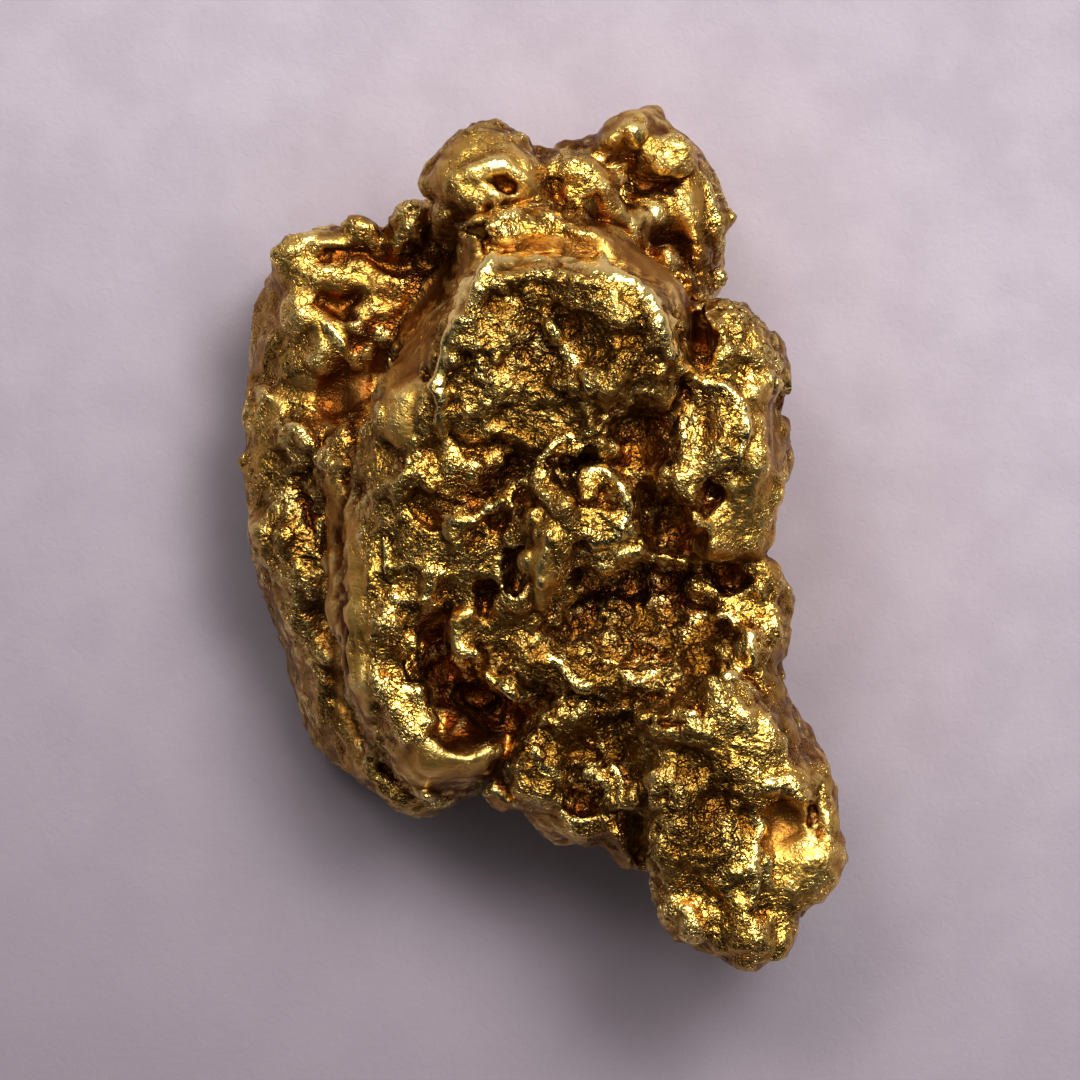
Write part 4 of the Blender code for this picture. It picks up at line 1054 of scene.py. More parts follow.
def touching(corners: list[int]) -> bool:
    """True if these corners of a cube are joined to each other along its edges.

    Args:
        corners: Corner numbers, whose bits are the corner's place along each axis.

    Returns:
        Whether they are joined. No corners and one corner count as joined.
    """
    reached = set(corners[:1])
    while True:
        more = {corner for corner in corners if any(corner ^ bit in reached for bit in (1, 2, 4))}
        if more <= reached:
            return len(reached) == len(corners)
        reached |= more


def cell_corners(values: NDArray) -> list[NDArray]:
    """The values at the corners of every grid cell, as one array for each of a cell's CORNERS."""
    spans = (slice(0, -1), slice(1, None))
    return [values[spans[n & 1], spans[n >> 1 & 1], spans[n >> 2]] for n in CORNERS]


def settled(values: Numbers) -> Numbers:
    """The field, with corners filled in the cells where its surface would touch itself.

    Args:
        values: The field on a grid, which is changed.

    Returns:
        The field.
    """
    plain = []
    for code in range(1 << len(CORNERS)):
        within = [n for n in CORNERS if code >> n & 1]
        without = [n for n in CORNERS if not code >> n & 1]
        plain.append(touching(within) and touching(without))
    simple = np.array(plain)
    steps = np.array([(n & 1, n >> 1 & 1, n >> 2) for n in CORNERS])
    while True:
        code = sum((corner < 0) * (1 << n) for n, corner in enumerate(cell_corners(values)))
        tangled = np.argwhere(~simple[code])
        if not len(tangled):
            return values
        corners = tangled[:, None] + steps
        depths = values[tuple(corners.T)].T
        shallow = np.where(depths > 0, depths, np.inf).argmin(axis=1)
        values[tuple(corners[np.arange(len(tangled)), shallow].T)] = -TINY


def surface_net(values: Numbers, axes: list[Numbers]) -> tuple[Numbers, NDArray]:
    """Meshes the field's zero surface with one point in each cell that it crosses.

    Args:
        values: The field on a grid.
        axes: The grid's places along each axis.

    Returns:
        The points, and the quads between them, which face out.
    """
    inside = values < 0
    cells = np.array(values.shape) - 1
    sums = np.zeros((cells.prod(), 3))
    counts = np.zeros(cells.prod())
    quads = []
    for axis in range(3):
        other, third = (axis + 1) % 3, (axis + 2) % 3
        before_at = [slice(None)] * 3
        after_at = [slice(None)] * 3
        before_at[axis], after_at[axis] = slice(0, -1), slice(1, None)
        at = np.argwhere(inside[tuple(before_at)] != inside[tuple(after_at)])
        bounds = cells[[other, third]]
        at = at[((at[:, [other, third]] > 0) & (at[:, [other, third]] < bounds)).all(1)]
        before = values[tuple(before_at)][tuple(at.T)]
        after = values[tuple(after_at)][tuple(at.T)]
        point = at.astype(float)
        point[:, axis] += before / (before - after)
        corners = []
        for step_other, step_third in ((0, 0), (1, 0), (1, 1), (0, 1)):
            cell = at.copy()
            cell[:, other] -= step_other
            cell[:, third] -= step_third
            flat = np.ravel_multi_index(tuple(cell.T), tuple(cells))
            for side in range(3):
                sums[:, side] += np.bincount(flat, point[:, side], len(sums))
            counts += np.bincount(flat, minlength=len(counts))
            corners.append(flat)
        quad = np.stack(corners, axis=1)
        quads.append(np.where((before < 0)[:, None], quad, quad[:, ::-1]))
    joined = np.concatenate(quads)
    used = np.flatnonzero(counts)
    number = np.zeros(cells.prod(), int)
    number[used] = np.arange(len(used))
    step = np.array([axis[1] - axis[0] for axis in axes])
    start = np.array([axis[0] for axis in axes])
    return sums[used] / counts[used][:, None] * step + start, number[joined]


def largest_piece(points: Numbers, quads: NDArray) -> tuple[Numbers, NDArray]:
    """The largest surface alone, without sealed bubbles inside and crumbs that came loose.

    Args:
        points: The points, one to a row.
        quads: Four point numbers to a row.

    Returns:
        The points and the quads of the largest surface.
    """
    label = np.arange(len(points))
    while True:
        lower = label.copy()
        np.minimum.at(lower, quads, label[quads].min(axis=1)[:, None])
        lower = lower[lower]
        if (lower == label).all():
            break
        label = lower
    kept = label == np.bincount(label[quads[:, 0]]).argmax()
    number = np.cumsum(kept) - 1
    return points[kept], number[quads[kept[quads[:, 0]]]]


@dataclass
class Skin:
    """The nugget's mesh as arrays.

    Attributes:
        points: Where the mesh's points are, one to a row.
        triangles: Three point numbers to a row.
    """

    points: Numbers
    triangles: NDArray

    @cached_property
    def links(self) -> NDArray:
        """Both ends of every edge, once in each direction."""
        sides = [self.triangles[:, [a, b]] for a, b in ((0, 1), (1, 2), (2, 0))]
        return np.concatenate(sides)

    @cached_property
    def degree(self) -> Numbers:
        """How many neighbours each point has."""
        return np.bincount(self.links[:, 0], minlength=len(self.points)).astype(float)

    def normals(self) -> Numbers:
        """The way out of the metal at each point.

        Returns:
            One unit vector to a row.
        """
        a, b, c = (self.points[self.triangles[:, n]] for n in range(3))
        faces = np.cross(b - a, c - a)
        total = np.stack([self.gathered(faces[:, axis]) for axis in range(3)], axis=1)
        return total / np.maximum(np.linalg.norm(total, axis=1, keepdims=True), SPECK)

    def gathered(self, values: Numbers) -> Numbers:
        """The sum at each point of a value that each triangle has."""
        return sum(np.bincount(corners, values, len(self.points)) for corners in self.triangles.T)

    def averaged(self, values: Numbers, rounds: int) -> Numbers:
        """Values at the points, each averaged with its neighbours this many times.

        Args:
            values: One value for each point.
            rounds: How many times.

        Returns:
            The averaged values.
        """
        start, end = self.links.T
        for _ in range(rounds):
            near = np.bincount(start, values[end], len(values)) / self.degree
            values = (values + near) / 2
        return values

    def hollowness(self, rounds: int) -> Numbers:
        """How far each point lies below the surface's own average, and above it where negative.

        Args:
            rounds: How widely the surface is averaged, as rounds over neighbours.

        Returns:
            One distance for each point.
        """
        smooth = [self.averaged(self.points[:, axis], rounds) for axis in range(3)]
        away = np.stack(smooth, axis=1) - self.points
        return (away * self.normals()).sum(axis=1)


class Wire:
    """A socket in a shader whose arithmetic adds the Math nodes for it."""

    def __init__(self, bench: "Bench", socket: bpy.types.NodeSocket) -> None:
        """Keeps the bench that the socket's node is on."""
        self.bench = bench
        self.socket = socket

    def __add__(self, other: "Value") -> "Wire":
        """The sum."""
        return self.bench.math("ADD", self, other)

    def __radd__(self, other: "Value") -> "Wire":
        """The sum."""
        return self.bench.math("ADD", other, self)

    def __sub__(self, other: "Value") -> "Wire":
        """The difference."""
        return self.bench.math("SUBTRACT", self, other)

    def __rsub__(self, other: "Value") -> "Wire":
        """The difference."""
        return self.bench.math("SUBTRACT", other, self)

    def __mul__(self, other: "Value") -> "Wire":
        """The product."""
        return self.bench.math("MULTIPLY", self, other)

    def __rmul__(self, other: "Value") -> "Wire":
        """The product."""
        return self.bench.math("MULTIPLY", other, self)

    def clamped(self) -> "Wire":
        """The value held between 0 and 1."""
        return self.bench.wire("ShaderNodeClamp", {}, {"Value": self})

    def stepped(self, low: float, high: float) -> "Wire":
        """0 at low and 1 at high, with a soft step between."""
        settings = {"interpolation_type": "SMOOTHSTEP"}
        return self.bench.wire(
            "ShaderNodeMapRange", settings, {"Value": self, "From Min": low, "From Max": high}
        )


Value = Wire | float


class Bench:
    """Adds nodes to one material's or world's tree."""

    def __init__(self, tree: bpy.types.NodeTree) -> None:
        """Clears the tree that nodes are then added to."""
        self.tree = tree
        tree.nodes.clear()

    def node(
        self,
        kind: str,
        settings: Mapping[str, object] | None = None,
        sockets: Mapping[str | int, object] | None = None,
    ) -> bpy.types.Node:
        """Adds a node.

        Args:
            kind: The node's type.
            settings: Its own properties, set first. "stops" fills a ramp with (place, colour).
            sockets: The values or links of its inputs, by name or number.

        Returns:
            The node.
        """
        node = self.tree.nodes.new(kind)
        for name, value in (settings or {}).items():
            if name == "stops":
                self.fill(node.color_ramp, value)
            else:
                setattr(node, name, value)
        for name, value in (sockets or {}).items():
            if isinstance(value, Wire):
                self.tree.links.new(value.socket, node.inputs[name])
            else:
                node.inputs[name].default_value = value
        return node

    @staticmethod
    def fill(ramp: bpy.types.ColorRamp, stops: Sequence[tuple[float, Colour]]) -> None:
        """Gives a ramp its colours.

        Args:
            ramp: The ramp.
            stops: A place from 0 to 1 and a colour for each stop, in order.
        """
        for place, _ in stops[2:]:
            ramp.elements.new(place)
        for element, (place, colour) in zip(ramp.elements, stops):
            element.position = place
            element.color = colour

    def wire(
        self,
        kind: str,
        settings: Mapping[str, object] | None = None,
        sockets: Mapping[str | int, object] | None = None,
        output: str | int = 0,
    ) -> Wire:
        """Adds a node and returns one of its outputs."""
        return Wire(self, self.node(kind, settings, sockets).outputs[output])

    def math(self, operation: str, *values: Value) -> Wire:
        """Adds a Math node on one or two values."""
        return self.wire("ShaderNodeMath", {"operation": operation}, dict(enumerate(values)))

    def mixed(self, share: Value, first: Wire | Colour, second: Wire | Colour) -> Wire:
        """The first colour where share is 0, and the second where it is 1."""
        settings = {"data_type": "RGBA"}
        return self.wire("ShaderNodeMix", settings, {0: share, 6: first, 7: second}, 2)

    def attribute(self, name: str) -> Wire:
        """A value that the mesh has at each point."""
        return self.wire("ShaderNodeAttribute", {"attribute_name": name}, {}, "Fac")

    def vector(self, operation: str, sockets: Mapping[str | int, object], output: str = "Vector") -> Wire:
        """Adds a Vector Math node and returns one of its outputs."""
        return self.wire("ShaderNodeVectorMath", {"operation": operation}, sockets, output)

    def toward(self, way: Wire, aim: Point) -> Wire:
        """How far a direction points the same way as the aim: their dot product."""
        return self.vector("DOT_PRODUCT", {0: way, 1: aim}, "Value")

    def millimetres(self) -> Wire:
        """Place on the object, in millimetres."""
        place = self.wire("ShaderNodeTexCoord", {}, {}, "Object")
        return self.vector("SCALE", {"Vector": place, "Scale": 1 / MM})

    def noise(self, spot: Wire, scale: float, detail: float, **more: float) -> Wire:
        """Soft noise round 0.5, with this many bumps to a millimetre."""
        sockets = {"Vector": spot, "Scale": scale, "Detail": detail, **more}
        return self.wire("ShaderNodeTexNoise", {}, sockets)

    def bump(self, height: Wire, strength: float = 1.0) -> Wire:
        """The normal of a relief whose height is in millimetres."""
        return self.wire("ShaderNodeBump", {}, {"Height": height, "Distance": MM, "Strength": strength})

    def surface(self, sockets: Mapping[str | int, object]) -> None:
        """Ends the tree in a Principled shader with these sockets."""
        shader = self.wire("ShaderNodeBsdfPrincipled", {}, sockets)
        self.node("ShaderNodeOutputMaterial", {}, {"Surface": shader})


def new_material(name: str) -> tuple[bpy.types.Material, Bench]:
    """Makes a material whose shader is still to be built.

    Args:
        name: What it is called.

    Returns:
        The material, and the bench for its nodes.
    """
    material = bpy.data.materials.new(name)
    material.use_nodes = True
    return material, Bench(material.node_tree)


@dataclass(frozen=True)
class NativeGold:
    """The nugget's metal: paler where it is worn and where highlights are painted, and painted dark brown
    in its hollows, pits and creases as painted shade.

    Heights and depths are millimetres, and a scale is how many come to a millimetre.

    Attributes:
        worn: Colour of the rubbed high places, which also paints highlights on the strands' tops and the
            bright folds.
        plain: Colour of the rest.
        deep: Painted shade: colour of the deep hollows, of places that see little sky, and of drawn
            creases.
        pit: Painted shade: colour in the fine pits and the small hollows.
        crack: Colour of the cracks between grains.
        crease_share: How much of the deep colour, a painted shade, a drawn crease takes.
        pit_share: How much of the pits' painted shade they take.
        hollow_share: How much of it the small hollows take.
        crack_share: How much of their colour the cracks take.
        rubbed_roughness: Roughness of rubbed metal.
        hackly_roughness: Roughness of hackly metal.
        hackly_from: The grit between which the metal goes from rubbed to hackly.
        pit_roughness: What the pits add to the roughness.
        crest_roughness: What the strands' tops take from it.
        shine_share: Share of it that the bright folds lose.
        strand_scale: Scale of the strands.
        strand_height: Height of the strands.
        grain_scale: Scale of the grain.
        grain_height: Height of the grain on hackly metal.
        calm_grain: Height that the grain keeps on rubbed metal.
        crack_scale: Scale of the cracks.
        crack_sway: How far noise bends the cracks.
        crack_width: How wide they are, as a share of the grains between them.
        crack_depth: How deep they are.
    """

    worn: Colour = (0.97, 0.77, 0.33, 1.0)
    plain: Colour = (0.86, 0.56, 0.16, 1.0)
    deep: Colour = (0.2, 0.045, 0.005, 1.0)
    pit: Colour = (0.26, 0.14, 0.025, 1.0)
    crack: Colour = (0.06, 0.03, 0.008, 1.0)
    crease_share: float = 0.7
    pit_share: float = 0.6
    hollow_share: float = 0.4
    crack_share: float = 0.85
    rubbed_roughness: float = 0.46
    hackly_roughness: float = 0.18
    hackly_from: tuple[float, float] = (0.05, 0.4)
    pit_roughness: float = 0.2
    crest_roughness: float = 0.08
    shine_share: float = 0.5
    strand_scale: float = 7.0
    strand_height: float = 0.045
    grain_scale: float = 13.0
    grain_height: float = 0.045
    calm_grain: float = 0.014
    crack_scale: float = 7.0
    crack_sway: float = 0.3
    crack_width: float = 0.09
    crack_depth: float = 0.025

    def material(self) -> bpy.types.Material:
        """The material, with its shader built.

        Returns:
            The material.
        """
        material, bench = new_material("native gold")
        nodes = GoldNodes(self, bench)
        sockets = {
            "Base Color": nodes.colour(),
            "Roughness": nodes.roughness(),
            "Metallic": 1.0,
            "Normal": bench.bump(nodes.height()),
        }
        bench.surface(sockets)
        return material


@dataclass
class GoldNodes:
    """The metal's masks and relief as nodes, each made once and used wherever it is needed.

    Attributes:
        gold: The finish.
        bench: Its material's bench.
    """

    gold: NativeGold
    bench: Bench

    @cached_property
    def spot(self) -> Wire:
        """Place on the nugget in millimetres."""
        return self.bench.millimetres()

    @cached_property
    def grit(self) -> Wire:
        """How rough the metal is, from 0, rubbed smooth, to 1, hackly."""
        return self.bench.attribute("grit")

    @cached_property
    def shine(self) -> Wire:
        """1 along the bright folds, which take the worn colour as a painted highlight and are smoother.
        """
        return self.bench.attribute("shine")

    @cached_property
    def strands(self) -> Wire:
        """Thin crumpled strands, near 1 along their middles.

        Returns:
            From 0 between the strands to 1.
        """
        settings = {"noise_type": "RIDGED_MULTIFRACTAL", "normalize": True}
        shape = {"Detail": 2.0, "Roughness": 0.55, "Lacunarity": 2.3, "Distortion": 0.5}
        sockets = {"Vector": self.spot, "Scale": self.gold.strand_scale, **shape}
        return self.bench.wire("ShaderNodeTexNoise", settings, sockets)

    @cached_property
    def crests(self) -> Wire:
        """1 along the tops of the strands, which take the worn colour as a painted highlight and are
        smoother.
        """
        return self.strands.stepped(0.6, 0.75) * self.grit

    @cached_property
    def pits(self) -> Wire:
        """1 between the strands and 0 along them, where painted shade and more roughness go."""
        return (1.0 - self.strands.stepped(0.3, 0.55)) * self.grit

    @cached_property
    def cracks(self) -> Wire:
        """1 in the thin dark cracks between grains, and 0 on the grains.

        Returns:
            From 0 to 1.
        """
        gold, bench = self.gold, self.bench
        shape = {"Vector": self.spot, "Scale": gold.crack_scale, "Detail": 2.0}
        sway = bench.wire("ShaderNodeTexNoise", {}, shape, "Color")
        bent = bench.vector("MULTIPLY_ADD", {0: sway, 1: (gold.crack_sway,) * 3, 2: self.spot})
        settings = {"feature": "DISTANCE_TO_EDGE"}
        sockets = {"Vector": bent, "Scale": gold.crack_scale, "Randomness": 1.0}
        edge = bench.wire("ShaderNodeTexVoronoi", settings, sockets, "Distance")
        where = bench.noise(self.spot, 2.6, 2.0).stepped(0.42, 0.58)
        share = where * (self.grit * 0.9 + 0.2).clamped()
        return (1.0 - edge.stepped(0.0, gold.crack_width)) * share * (1.0 - self.shine)

    def colour(self) -> Wire:
        """The metal's colour: painted shade in the hollows, pits and creases, and the worn colour on
        crests, partly a painted highlight.

        Returns:
            The colour.
        """
        gold, bench = self.gold, self.bench
        cloud = bench.noise(self.spot, 1.3, 3.0)
        # Painted shade: the deep colour darkens deep hollows, places that see little sky and drawn
        # creases.
        deep = (bench.attribute("deep") + bench.attribute("crease") * gold.crease_share).clamped()
        # Worn colour on rubbed crests and strand tops: partly worn gold, partly a painted highlight.
        wear = (bench.attribute("wear") * cloud.stepped(0.3, 0.65) + self.crests).clamped()
        # Painted shade: the pit colour darkens the fine pits between strands and the small hollows.
        pits = self.pits * (cloud.stepped(0.6, 0.4) + 0.35)
        painted_pit_shade = (pits * gold.pit_share + bench.attribute("hollow") * gold.hollow_share).clamped()
        metal = bench.mixed(wear, bench.mixed(deep, gold.plain, gold.deep), gold.worn)
        metal = bench.mixed(painted_pit_shade, metal, gold.pit)
        metal = bench.mixed(self.cracks * gold.crack_share, metal, gold.crack)
        # Painted highlight: the bright folds take the worn colour in full.
        return bench.mixed(self.shine, metal, gold.worn)

    def roughness(self) -> Wire:
        """The metal's roughness from its grit, its pits and its bright folds.

        Returns:
            The roughness.
        """
        gold = self.gold
        span = gold.hackly_roughness - gold.rubbed_roughness
        roughness = self.grit.stepped(*gold.hackly_from) * span + gold.rubbed_roughness
        roughness = roughness + self.pits * gold.pit_roughness - self.crests * gold.crest_roughness
        return roughness * (1.0 - self.shine * gold.shine_share)

    def height(self) -> Wire:
        """The finest relief.

        Returns:
            The height in millimetres.
        """
        gold = self.gold
        grain = self.bench.noise(self.spot, gold.grain_scale, 2.0, Roughness=0.6)
        strands = self.strands.stepped(0.3, 0.8) * (self.grit * gold.strand_height)
        grains = grain * (self.grit * gold.grain_height + gold.calm_grain)
        return strands + grains - self.cracks * gold.crack_depth


@dataclass(frozen=True)
class PlainFloor:
    """The plain matt floor under the nugget, painted darker towards the side away from the light as
    painted shade.

    Attributes:
        colour: Its colour.
        shade: Its colour in the faint clouds on it.
        dusk: Its colour on the side away from the light.
        fade: The way to that side. Its length is how much darker a millimetre that way is.
        dusk_here: How much of the dusk there is under the nugget.
        grain_height: How far its fine grain stands up, in millimetres.
    """

    colour: Colour = (0.54, 0.495, 0.55, 1.0)
    shade: Colour = (0.505, 0.46, 0.515, 1.0)
    dusk: Colour = (0.295, 0.255, 0.29, 1.0)
    fade: Point = (-0.022, -0.055, 0.0)
    dusk_here: float = 0.3
    grain_height: float = 0.012

    def material(self) -> bpy.types.Material:
        """The material, with its shader built.

        Returns:
            The material.
        """
        material, bench = new_material("floor")
        spot = bench.millimetres()
        clouds = bench.noise(spot, 0.9, 5.0)
        grain = bench.noise(spot, 9.0, 4.0, Distortion=0.6)
        pale = bench.mixed(clouds.stepped(0.35, 0.65), self.colour, self.shade)
        # Painted shade: the floor is darker towards the side away from the light, with some of it under
        # the nugget.
        away = (bench.toward(spot, self.fade) + self.dusk_here).clamped()
        sockets = {
            "Base Color": bench.mixed(away, pale, self.dusk),
            "Roughness": 0.9,
            "Specular IOR Level": 0.2,
            "Normal": bench.bump(grain * self.grain_height, 0.6),
        }
        bench.surface(sockets)
        return material


@dataclass
class NuggetSurface:
    """The nugget's surface: the form's mesh with its relief, masks and metal.

    Attributes:
        form: The distance field.
        low: Lowest corner of the nugget's box.
        high: Highest corner of the nugget's box.
        finish: The metal.
        most_triangles: The mesh is thinned to this many.
        skin_depth: Traces lie only on what is this close under the highest surface.
        foot: Relief fades out below this height, so that the feet stay flat.
        mottle: Noise in how rough the metal is.
        beads: Coarse rounded grains.
        bead_share: How much of the beads is on hackly metal.
        grains: Fine grains, some of them sunken.
        curls: Thin crumpled ridges, coarse and fine.
        sway: Noise that bends the traces in plan.
        waver: Noise that makes a trace higher here and lower there.
        lattice_turn: How the noise is turned, so that its lattice doesn't lie along the view.
        crumple: Folded noise: sharp crests where its height is above 0, and sharp creases below.
        crumple_level: Share of its height that lies below the surface.
        ripple: Soft waves, on smooth gold too.
        calm_ripple: Share of the waves that smooth gold has.
        shine_from: A trace has no shine below the first height, and above the second it takes the worn
            colour in full as a painted highlight.
        shine_calm: Share of the grit that a bright trace loses.
        crease_from: A trace this deep starts to darken with painted shade, and is dark at the second
            depth.
        fine_rounds: How widely the surface is averaged to find small hollows and crests.
        broad_rounds: How widely it is averaged to find deep ones.
        hollow_from: A small hollow this deep starts to show its painted shade, and shows it in full at
            the second depth.
        wear_from: The same for a crest's height, which takes the worn colour, partly a painted highlight.
        deep_from: The same for a deep hollow, which is darkened with painted shade.
        sky_from: Painted shade: it is light where this much of the sky is seen, and dark where only the
            second is.
    """

    form: GoldField
    low: Sequence[float]
    high: Sequence[float]
    finish: NativeGold = NativeGold()
    most_triangles: int = 196_000
    skin_depth: float = 0.45
    foot: float = 0.2
    mottle: Noise = Noise(1.4, 0.3, 83)
    beads: Grains = Grains(0.36, 0.06, 5)
    bead_share: float = 0.8
    grains: Grains = Grains(0.15, 0.05, 7, hollow=0.35)
    curls: tuple[Curls, ...] = (
        Curls(Noise(0.3, 0.045, 101), Noise(0.4, 0.1, 103)),
        Curls(Noise(0.15, 0.04, 107), Noise(0.2, 0.05, 109)),
    )
    sway: tuple[Noise, ...] = (Noise(0.4, 0.06, 91), Noise(0.16, 0.05, 95))
    waver: Noise = Noise(0.17, 0.6, 97)
    lattice_turn: Euler = Euler((0.6, 0.9, 0.3))
    crumple: tuple[Noise, ...] = (
        Noise(0.52, 0.09, 113),
        Noise(0.27, -0.06, 127),
        Noise(0.14, 0.03, 131),
    )
    crumple_level: float = 0.3
    ripple: tuple[Noise, ...] = (Noise(0.3, 0.02, 71), Noise(0.13, 0.012, 73))
    calm_ripple: float = 0.3
    shine_from: tuple[float, float] = (0.035, 0.075)
    shine_calm: float = 0.7
    crease_from: tuple[float, float] = (0.02, 0.09)
    fine_rounds: int = 4
    broad_rounds: int = 80
    hollow_from: tuple[float, float] = (0.0, 0.012)
    wear_from: tuple[float, float] = (0.001, 0.01)
    deep_from: tuple[float, float] = (0.04, 0.25)
    sky_from: tuple[float, float] = (0.78, 0.3)

    def thinned(self) -> Skin:
        """The form's mesh, thinned where it is flattest.

        Returns:
            The mesh, still without its relief.
        """
        values, axes = self.form.sampled(self.low, self.high)
        points, quads = largest_piece(*surface_net(settled(values), axes))
        log.info("form meshed with %d quads", len(quads))
        mesh = bpy.data.meshes.new("form")
        mesh.from_pydata(points.tolist(), [], quads.tolist())
        draft = bpy.data.objects.new("form", mesh)
        bpy.context.collection.objects.link(draft)
        thin = draft.modifiers.new("thin out", "DECIMATE")
        thin.ratio = min(1.0, self.most_triangles / (2 * len(quads)))
        evaluated = draft.evaluated_get(bpy.context.evaluated_depsgraph_get())
        made = evaluated.to_mesh()
        made.calc_loop_triangles()
        spots = np.empty(3 * len(made.vertices), np.float32)
        made.vertices.foreach_get("co", spots)
        corners = np.empty(3 * len(made.loop_triangles), np.int32)
        made.loop_triangles.foreach_get("vertices", corners)
        bpy.data.objects.remove(draft)
        bpy.data.meshes.remove(mesh)
        return Skin(spots.reshape(-1, 3).astype(float), corners.reshape(-1, 3).astype(int))

    def on_top(self, skin: Skin) -> Numbers:
        """How far each point is seen from above.

        Args:
            skin: The mesh.

        Returns:
            1 on the surface seen from above, and 0 under its overhangs.
        """
        cell = 0.1
        at = np.round(skin.points[:, :2] / cell).astype(int)
        at -= at.min(axis=0)
        top = np.zeros(at.max(axis=0) + 1)
        np.maximum.at(top, tuple(at.T), skin.points[:, 2])
        depth = top[tuple(at.T)] - skin.points[:, 2]
        return eased(depth, self.skin_depth, self.skin_depth / 2)

    def openness(self, skin: Skin) -> Numbers:
        """How much of the sky each point sees past the heights around it.

        Args:
            skin: The mesh.

        Returns:
            From 0 in a deep cave to 1 on an open top.
        """
        cell, turns, smoothing = 0.06, 12, 2
        reaches = (0.08, 0.16, 0.28, 0.44, 0.7, 1.1, 1.7)
        border = max(reaches) + cell
        at = np.round((skin.points[:, :2] - skin.points[:, :2].min(axis=0) + border) / cell).astype(int)
        top = np.zeros(at.max(axis=0) + int(border / cell) + 2)
        np.maximum.at(top, tuple(at.T), skin.points[:, 2])
        total = np.zeros(len(skin.points))
        for turn in np.arange(turns) * 2 * np.pi / turns:
            steepest = np.zeros(len(skin.points))
            for reach in reaches:
                step = np.round(reach / cell * np.array((np.cos(turn), np.sin(turn)))).astype(int)
                rise = top[tuple((at + step).T)] - skin.points[:, 2]
                steepest = np.maximum(steepest, rise / reach)
            total += 1 - steepest / np.hypot(1, steepest)
        return skin.averaged(total / turns, smoothing)

    def grit_of(self, skin: Skin, top: Numbers) -> Numbers:
        """How rough the gold is.

        Args:
            skin: The mesh.
            top: 1 where it is seen from above.

        Returns:
            The grit at each point, from 0 to 1.
        """
        grit = Grit.WORN.value + self.mottle.at(*skin.points.T)
        for patch in PATCHES:
            share = patch.share(skin.points) * top
            grit = grit + (patch.grit.value - grit) * share
        return np.clip(grit, 0, 1)

    def grown(self, skin: Skin, grit: Numbers, sway: Numbers) -> Numbers:
        """The relief that grew all over the gold: beads, grains, curls, crumpled skin and ripples.

        Args:
            skin: The mesh.
            grit: How rough it is at each point.
            sway: How far the skin's folds are bent along X and Y, one pair to a row.

        Returns:
            One height for each point.
        """
        x, y, z = (skin.points @ np.array(self.lattice_turn.to_matrix())).T
        relief = self.beads.at(skin.points) * (self.bead_share * grit)
        relief += self.grains.at(skin.points) * grit
        relief += sum(layer.at(x, y, z) for layer in self.curls) * grit
        bent = (x + sway[:, 0], y + sway[:, 1], z)
        for layer in self.crumple:
            folded = np.abs(layer.at(*bent)) - abs(layer.height) * self.crumple_level
            relief -= np.sign(layer.height) * folded * grit
        return relief + sum(layer.at(x, y, z) for layer in self.ripple) * (self.calm_ripple + grit)

    def raised(self, skin: Skin) -> dict[str, Numbers]:
        """Raises the relief on the skin.

        Args:
            skin: The mesh, which is changed.

        Returns:
            Masks of its grit, its shine, for a painted highlight, and its creases, for painted shade.
        """
        top = self.on_top(skin)
        grit = self.grit_of(skin, top)
        x, y, z = skin.points.T
        sway = np.stack([sum(layer.at(x, y, z, n) for layer in self.sway) for n in range(2)], axis=1)
        drawn = sum(trace.relief(skin.points[:, :2] + sway) for trace in FOLDS) * top
        drawn = drawn * (1 + self.waver.at(x, y, z))
        shine = eased(drawn, *self.shine_from)
        grit = grit * (1 - self.shine_calm * shine)
        lift = drawn + self.grown(skin, grit, sway) * eased(z, 0, self.foot)
        skin.points = skin.points + skin.normals() * lift[:, None]
        skin.points[:, 2] = np.maximum(skin.points[:, 2], 0)
        return {"grit": grit, "shine": shine, "crease": eased(-drawn, *self.crease_from)}

    def shape_masks(self, skin: Skin) -> dict[str, Numbers]:
        """Masks of what lies low, for painted shade, and of what stands up, for the worn colour and
        painted highlights.

        Args:
            skin: The mesh with its relief.

        Returns:
            Masks of its small hollows and its deep hollows, both for painted shade, and of its worn
            crests.
        """
        fine = skin.hollowness(self.fine_rounds)
        broad = skin.hollowness(self.broad_rounds)
        # Painted shade goes where little of the sky is seen from the top.
        hidden = eased(self.openness(skin), *self.sky_from) * self.on_top(skin)
        return {
            "hollow": eased(fine, *self.hollow_from),
            "wear": eased(-fine, *self.wear_from),
            "deep": np.maximum(eased(broad, *self.deep_from), hidden),
        }

    def build(self) -> bpy.types.Object:
        """Builds and dresses the piece, which rides on the nugget's body in place of its solid.

        Returns:
            The piece.
        """
        skin = self.thinned()
        masks = self.raised(skin)
        masks |= self.shape_masks(skin)
        mesh = bpy.data.meshes.new("nugget_surface")
        mesh.from_pydata((skin.points * MM).tolist(), [], skin.triangles.tolist())
        mesh.shade_smooth()
        for name, values in masks.items():
            layer = mesh.attributes.new(name, "FLOAT", "POINT")
            layer.data.foreach_set("value", values.astype(np.float32))
        piece = bpy.data.objects.new("nugget_surface", mesh)
        bpy.context.collection.objects.link(piece)
        mesh.materials.append(self.finish.material())
        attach(piece, BODY)
        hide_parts(NODE)
        log.info("%s: %d triangles", piece.name, len(skin.triangles))
        return piece


